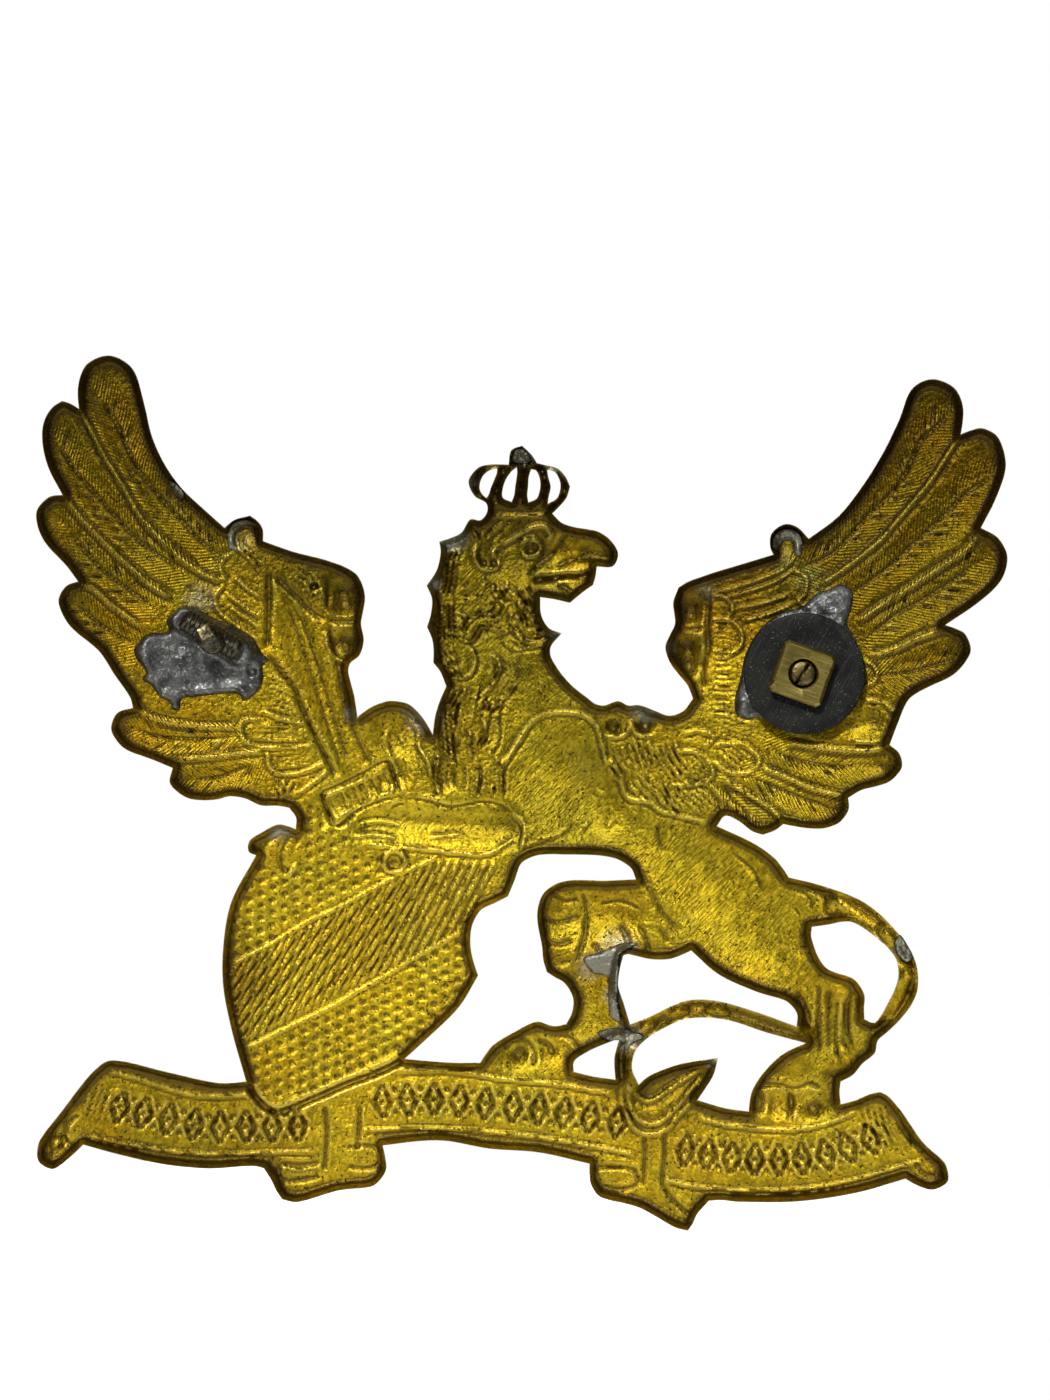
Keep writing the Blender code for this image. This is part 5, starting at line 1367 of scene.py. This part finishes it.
def plate_finish():
    """Aged brass: olive to orange, brown patina with painted shading in creases and by the rims, most on
    down-facing walls, polish with a painted highlight on ridges, pin speckles.
    """
    black = (0.0, 0.0, 0.0)
    white = (1.0, 1.0, 1.0)
    olive = (0.61, 0.465, 0.02)
    orange = (0.68, 0.375, 0.006)
    drab = (0.47, 0.40, 0.022)
    green_bloom = (0.13, 0.14, 0.03)
    grey_bloom = (0.33, 0.35, 0.30)
    crease_patina_and_shade = (0.07, 0.045, 0.01)
    rim_shade_and_patina_brown = (0.05, 0.028, 0.006)
    polish_and_highlight_cream = (0.86, 0.68, 0.14)
    bare_edge = (0.50, 0.42, 0.22)
    speckle = (0.04, 0.025, 0.008)
    barb_waves = 11.4
    f = Finish("plate_brass_aged", 0.95, 0.4)
    broad = f.noise(0.16, 5)
    middle = f.noise(0.7, 5)
    fine = f.noise(2.4, 4)
    pin = f.noise(2.3, 1)
    grained = f.times(f.mark("grained"), f.ramp(middle, 0.3, 0.6, 0.35, 1.0))
    phase = f.plus(f.times(f.mark("grain"), barb_waves), f.times(middle, 4.0))
    wave = f.times(f.math("SINE", phase), grained)
    colour = f.mix(f.mark("warm"), olive, orange)
    colour = f.mix(f.ramp(broad, 0.35, 0.65, 0.0, 0.45), colour, drab)
    tone = f.math("POWER", f.mark("tone"), 1.7)
    tone = f.times(tone, f.ramp(middle, 0.3, 0.7, 0.72, 1.15))
    tone = f.times(tone, f.ramp(fine, 0.3, 0.7, 0.74, 1.2))
    tone = f.times(tone, f.ramp(wave, -1.0, 1.0, 0.76, 1.2))
    strokes = f.math("SUBTRACT", f.noise(2.2, 3, (0.35, 1.0, 2.0), 48), 0.5)
    strokes = f.times(strokes, f.mark("fur"))
    tone = f.times(tone, f.ramp(strokes, -0.16, 0.16, 0.6, 1.4))
    colour = f.mix(1.0, colour, f.mix(tone, black, white), "MULTIPLY")
    colour = f.mix(f.times(f.mark("green"), f.ramp(middle, 0.35, 0.6, 0.2, 0.75)), colour, green_bloom)
    sunk = f.mark("sunk")
    # painted shading with brown patina: darker where the surface lies sunk against its surroundings, in
    # creases, grooves and pits
    colour = f.mix(f.ramp(sunk, 0.005, 0.09, 0.0, 0.75), colour, crease_patina_and_shade)
    rim = f.mark("rim")
    # painted highlight with real polish: raised ridges clear of the rims turn towards cream, more where the
    # brass is brighter, and are made smoother
    polish_and_highlight = f.times(f.ramp(sunk, -0.035, -0.13, 0.0, 0.34), f.mark("tone"))
    polish_and_highlight = f.times(polish_and_highlight, f.ramp(rim, 0.7, 1.4))
    colour = f.mix(polish_and_highlight, colour, polish_and_highlight_cream)
    # painted shading by the rims: the walls just inside them darken, most where they face down, more where
    # the brass is darker and less in the zone of fainter shading; the wider, faint brown band by the rims is
    # patina
    ragged = f.plus(rim, f.ramp(middle, 0.3, 0.7, -0.35, 0.35))
    down_facing_rim_shade = f.times(f.ramp(ragged, 0.15, 0.95, 1.0, 0.0), f.ramp(f.mark("down"), -1.2, 1.8, 0.0, 0.92))
    down_facing_rim_shade = f.times(down_facing_rim_shade, f.ramp(f.mark("tone"), 0.45, 0.75, 1.0, 0.55))
    down_facing_rim_shade = f.times(down_facing_rim_shade, f.ramp(f.mark("faint_rim_shade"), 0.0, 0.5, 1.0, 0.45))
    wide = f.times(f.ramp(ragged, 0.6, 3.2, 1.0, 0.0), 0.22)
    rim_shade_and_patina = f.math("MAXIMUM", down_facing_rim_shade, wide)
    colour = f.mix(rim_shade_and_patina, colour, rim_shade_and_patina_brown)
    colour = f.mix(f.times(f.mark("grey"), f.ramp(middle, 0.3, 0.55, 0.35, 1.0)), colour, grey_bloom)
    colour = f.mix(f.ramp(rim, 0.03, 0.16, 0.6, 0.0), colour, bare_edge)
    colour = f.mix(f.ramp(pin, 0.65, 0.7, 0.0, 0.85), colour, speckle)
    rough_value = f.plus(f.ramp(fine, 0.3, 0.7, 0.32, 0.46), f.times(rim_shade_and_patina, 0.15))
    rough_value = f.math("SUBTRACT", rough_value, f.times(polish_and_highlight, 0.14))
    height = f.times(wave, 0.022)
    height = f.plus(height, f.times(strokes, 0.25))
    height = f.plus(height, f.times(fine, 0.1))
    height = f.plus(height, f.times(middle, 0.14))
    height = f.math("SUBTRACT", height, f.ramp(pin, 0.66, 0.73, 0.0, 0.04))
    return f.finish(colour, rough_value, height)


def solder_finish():
    """Dull grey solder with bright scuffed lumps, dark pits and a stain at its edge."""
    f = Finish("solder_grey", 0.9, 0.42)
    broad = f.noise(0.5, 4)
    fine = f.noise(2.6, 4)
    pit = f.noise(3.2, 1)
    colour = f.mix(f.ramp(broad, 0.35, 0.65), (0.06, 0.06, 0.056), (0.14, 0.14, 0.132))
    colour = f.mix(f.ramp(fine, 0.52, 0.72, 0.0, 0.6), colour, (0.4, 0.4, 0.385))
    colour = f.mix(f.ramp(pit, 0.66, 0.72, 0.0, 0.8), colour, (0.03, 0.03, 0.028))
    colour = f.mix(f.times(f.mark("pale"), 0.7), colour, (0.27, 0.26, 0.18))
    colour = f.mix(f.ramp(f.mark("edge"), 0.02, 0.16, 0.6, 0.0), colour, (0.06, 0.055, 0.045))
    height = f.plus(f.times(fine, 0.07), f.times(broad, 0.12))
    return f.finish(colour, f.ramp(fine, 0.3, 0.7, 0.55, 0.36), height)


def washer_finish():
    """Blackened washer, scuffed and scratched, with pale specks."""
    f = Finish("washer_black", 0.6, 0.5)
    broad = f.noise(0.4, 5)
    scratch = f.noise(0.9, 3, (0.2, 1.0, 5.0), 62)
    other = f.noise(0.8, 3, (0.2, 1.0, 6.0), -38)
    fine = f.noise(5.0, 2)
    colour = f.mix(f.ramp(broad, 0.35, 0.65), (0.0025, 0.003, 0.0018), (0.011, 0.012, 0.008))
    colour = f.mix(f.ramp(scratch, 0.56, 0.68, 0.0, 0.28), colour, (0.06, 0.06, 0.05))
    colour = f.mix(f.ramp(other, 0.6, 0.7, 0.0, 0.22), colour, (0.05, 0.05, 0.042))
    colour = f.mix(f.ramp(fine, 0.66, 0.74, 0.0, 0.8), colour, (0.22, 0.22, 0.2))
    height = f.plus(f.times(scratch, 0.03), f.times(fine, 0.02))
    return f.finish(colour, f.ramp(broad, 0.3, 0.7, 0.62, 0.42), height)


def nut_finish():
    """Satin nut brass with filing marks across it."""
    f = Finish("nut_brass_satin", 0.9, 0.4)
    broad = f.noise(0.5, 4)
    marks = f.noise(1.2, 3, (0.3, 1.0, 6.0), -18)
    pin = f.noise(3.0, 1)
    colour = f.mix(f.ramp(broad, 0.35, 0.65), (0.16, 0.12, 0.026), (0.25, 0.195, 0.045))
    colour = f.mix(f.ramp(marks, 0.5, 0.7, 0.0, 0.5), colour, (0.40, 0.33, 0.11))
    colour = f.mix(f.ramp(pin, 0.66, 0.73, 0.0, 0.7), colour, (0.08, 0.055, 0.02))
    return f.finish(colour, f.ramp(broad, 0.3, 0.7, 0.44, 0.34), f.times(marks, 0.03))


def stud_finish():
    """Brown-stained stud brass, with a darker stain that is partly painted shading on the stub and the bar,
    bright where it was snapped.
    """
    f = Finish("stud_brass_stained", 0.9, 0.38)
    broad = f.noise(0.8, 4)
    fine = f.noise(3.0, 3)
    colour = f.mix(f.ramp(broad, 0.35, 0.65), (0.075, 0.058, 0.022), (0.19, 0.145, 0.05))
    # darker stain, partly painted shading
    stain_and_shading = f.mix(f.ramp(fine, 0.35, 0.65), (0.018, 0.016, 0.011), (0.095, 0.09, 0.07))
    colour = f.mix(f.mark("stain_and_shading"), colour, stain_and_shading)
    snapped = f.mix(f.ramp(fine, 0.4, 0.6), (0.2, 0.15, 0.06), (0.5, 0.44, 0.24))
    colour = f.mix(f.mark("fresh"), colour, snapped)
    return f.finish(colour, f.ramp(fine, 0.3, 0.7, 0.3, 0.45), f.times(fine, 0.05))


# ---- setting -------------------------------------------------------------------------------------------
def build_floor():
    """A small plain pale floor just under the scroll."""
    height = CAD_BOX[0].z - FLOOR_GAP
    f = Finish("floor_pale", 0.0, 0.9)
    f.shader.inputs["Base Color"].default_value = (0.6, 0.6, 0.6, 1.0)
    f.shader.inputs["Emission Color"].default_value = (1.0, 1.0, 1.0, 1.0)
    f.shader.inputs["Emission Strength"].default_value = 0.93
    corners = [(FLOOR_REACH * x, FLOOR_REACH * y, height) for x, y in ((-1, -1), (1, -1), (1, 1), (-1, 1))]
    floor = add_piece("floor", corners, [[0, 1, 2, 3]], f.material)


def build_world():
    """White seen directly; for the metal a soft studio: bright above and behind the viewer, dark below."""
    world = bpy.data.worlds.new("studio")
    bpy.context.scene.world = world
    world.use_nodes = True
    tree = world.node_tree
    tree.nodes.clear()
    out = tree.nodes.new("ShaderNodeOutputWorld")
    seen = tree.nodes.new("ShaderNodeBackground")
    seen.inputs["Color"].default_value = (1, 1, 1, 1)
    lit = tree.nodes.new("ShaderNodeBackground")
    rays = tree.nodes.new("ShaderNodeLightPath")
    choose = tree.nodes.new("ShaderNodeMixShader")
    where = tree.nodes.new("ShaderNodeTexCoord")
    towards = tree.nodes.new("ShaderNodeVectorMath")
    towards.operation = "DOT_PRODUCT"
    towards.inputs[1].default_value = (0.1, 0.37, 0.92)
    rise = tree.nodes.new("ShaderNodeMapRange")
    rise.interpolation_type = "SMOOTHSTEP"
    for name, value in (("From Min", 0.05), ("From Max", 1.0), ("To Min", 0.034), ("To Max", 0.33)):
        rise.inputs[name].default_value = value
    tree.links.new(where.outputs["Generated"], towards.inputs[0])
    tree.links.new(towards.outputs["Value"], rise.inputs["Value"])
    tree.links.new(rise.outputs["Result"], lit.inputs["Strength"])
    lit.inputs["Color"].default_value = (1.0, 0.985, 0.96, 1)
    tree.links.new(rays.outputs["Is Camera Ray"], choose.inputs[0])
    tree.links.new(lit.outputs[0], choose.inputs[1])
    tree.links.new(seen.outputs[0], choose.inputs[2])
    tree.links.new(choose.outputs[0], out.inputs[0])


def add_light(name, place, size, power):
    """A square soft light aimed at the middle of the badge."""
    data = bpy.data.lights.new(name, "AREA")
    data.size = size
    data.energy = power
    lamp = bpy.data.objects.new(name, data)
    lamp.location = place
    lamp.rotation_euler = (Vector(LIGHT_AIM) - Vector(place)).to_track_quat("-Z", "Y").to_euler()
    bpy.context.scene.collection.objects.link(lamp)


def build_camera():
    """A long lens square to the hollow back, rolled as the badge lies in its picture."""
    data = bpy.data.cameras.new("camera")
    data.sensor_width = SENSOR
    data.lens = SENSOR * CAMERA_DISTANCE / CAMERA_VIEW
    camera = bpy.data.objects.new("camera", data)
    camera.location = Vector(CAMERA_AIM) + Vector((0, CAMERA_DISTANCE, 0))
    facing = Vector((0, -1, 0)).to_track_quat("-Z", "Y")
    roll = Quaternion((0, 1, 0), CAMERA_ROLL)
    camera.rotation_mode = "QUATERNION"
    camera.rotation_quaternion = roll @ facing
    bpy.context.scene.collection.objects.link(camera)
    bpy.context.scene.camera = camera


def main():
    plate = build_plate(plate_finish())
    build_solder(Surface(plate), solder_finish())
    stud = stud_finish()
    build_left_stud(stud)
    build_right_stud(stud)
    build_washer(washer_finish())
    build_nut(nut_finish())
    build_floor()
    build_world()
    for name, place, size, power in LIGHTS:
        add_light(name, place, size, power)
    build_camera()
    bpy.context.scene.view_settings.view_transform = "Standard"


main()
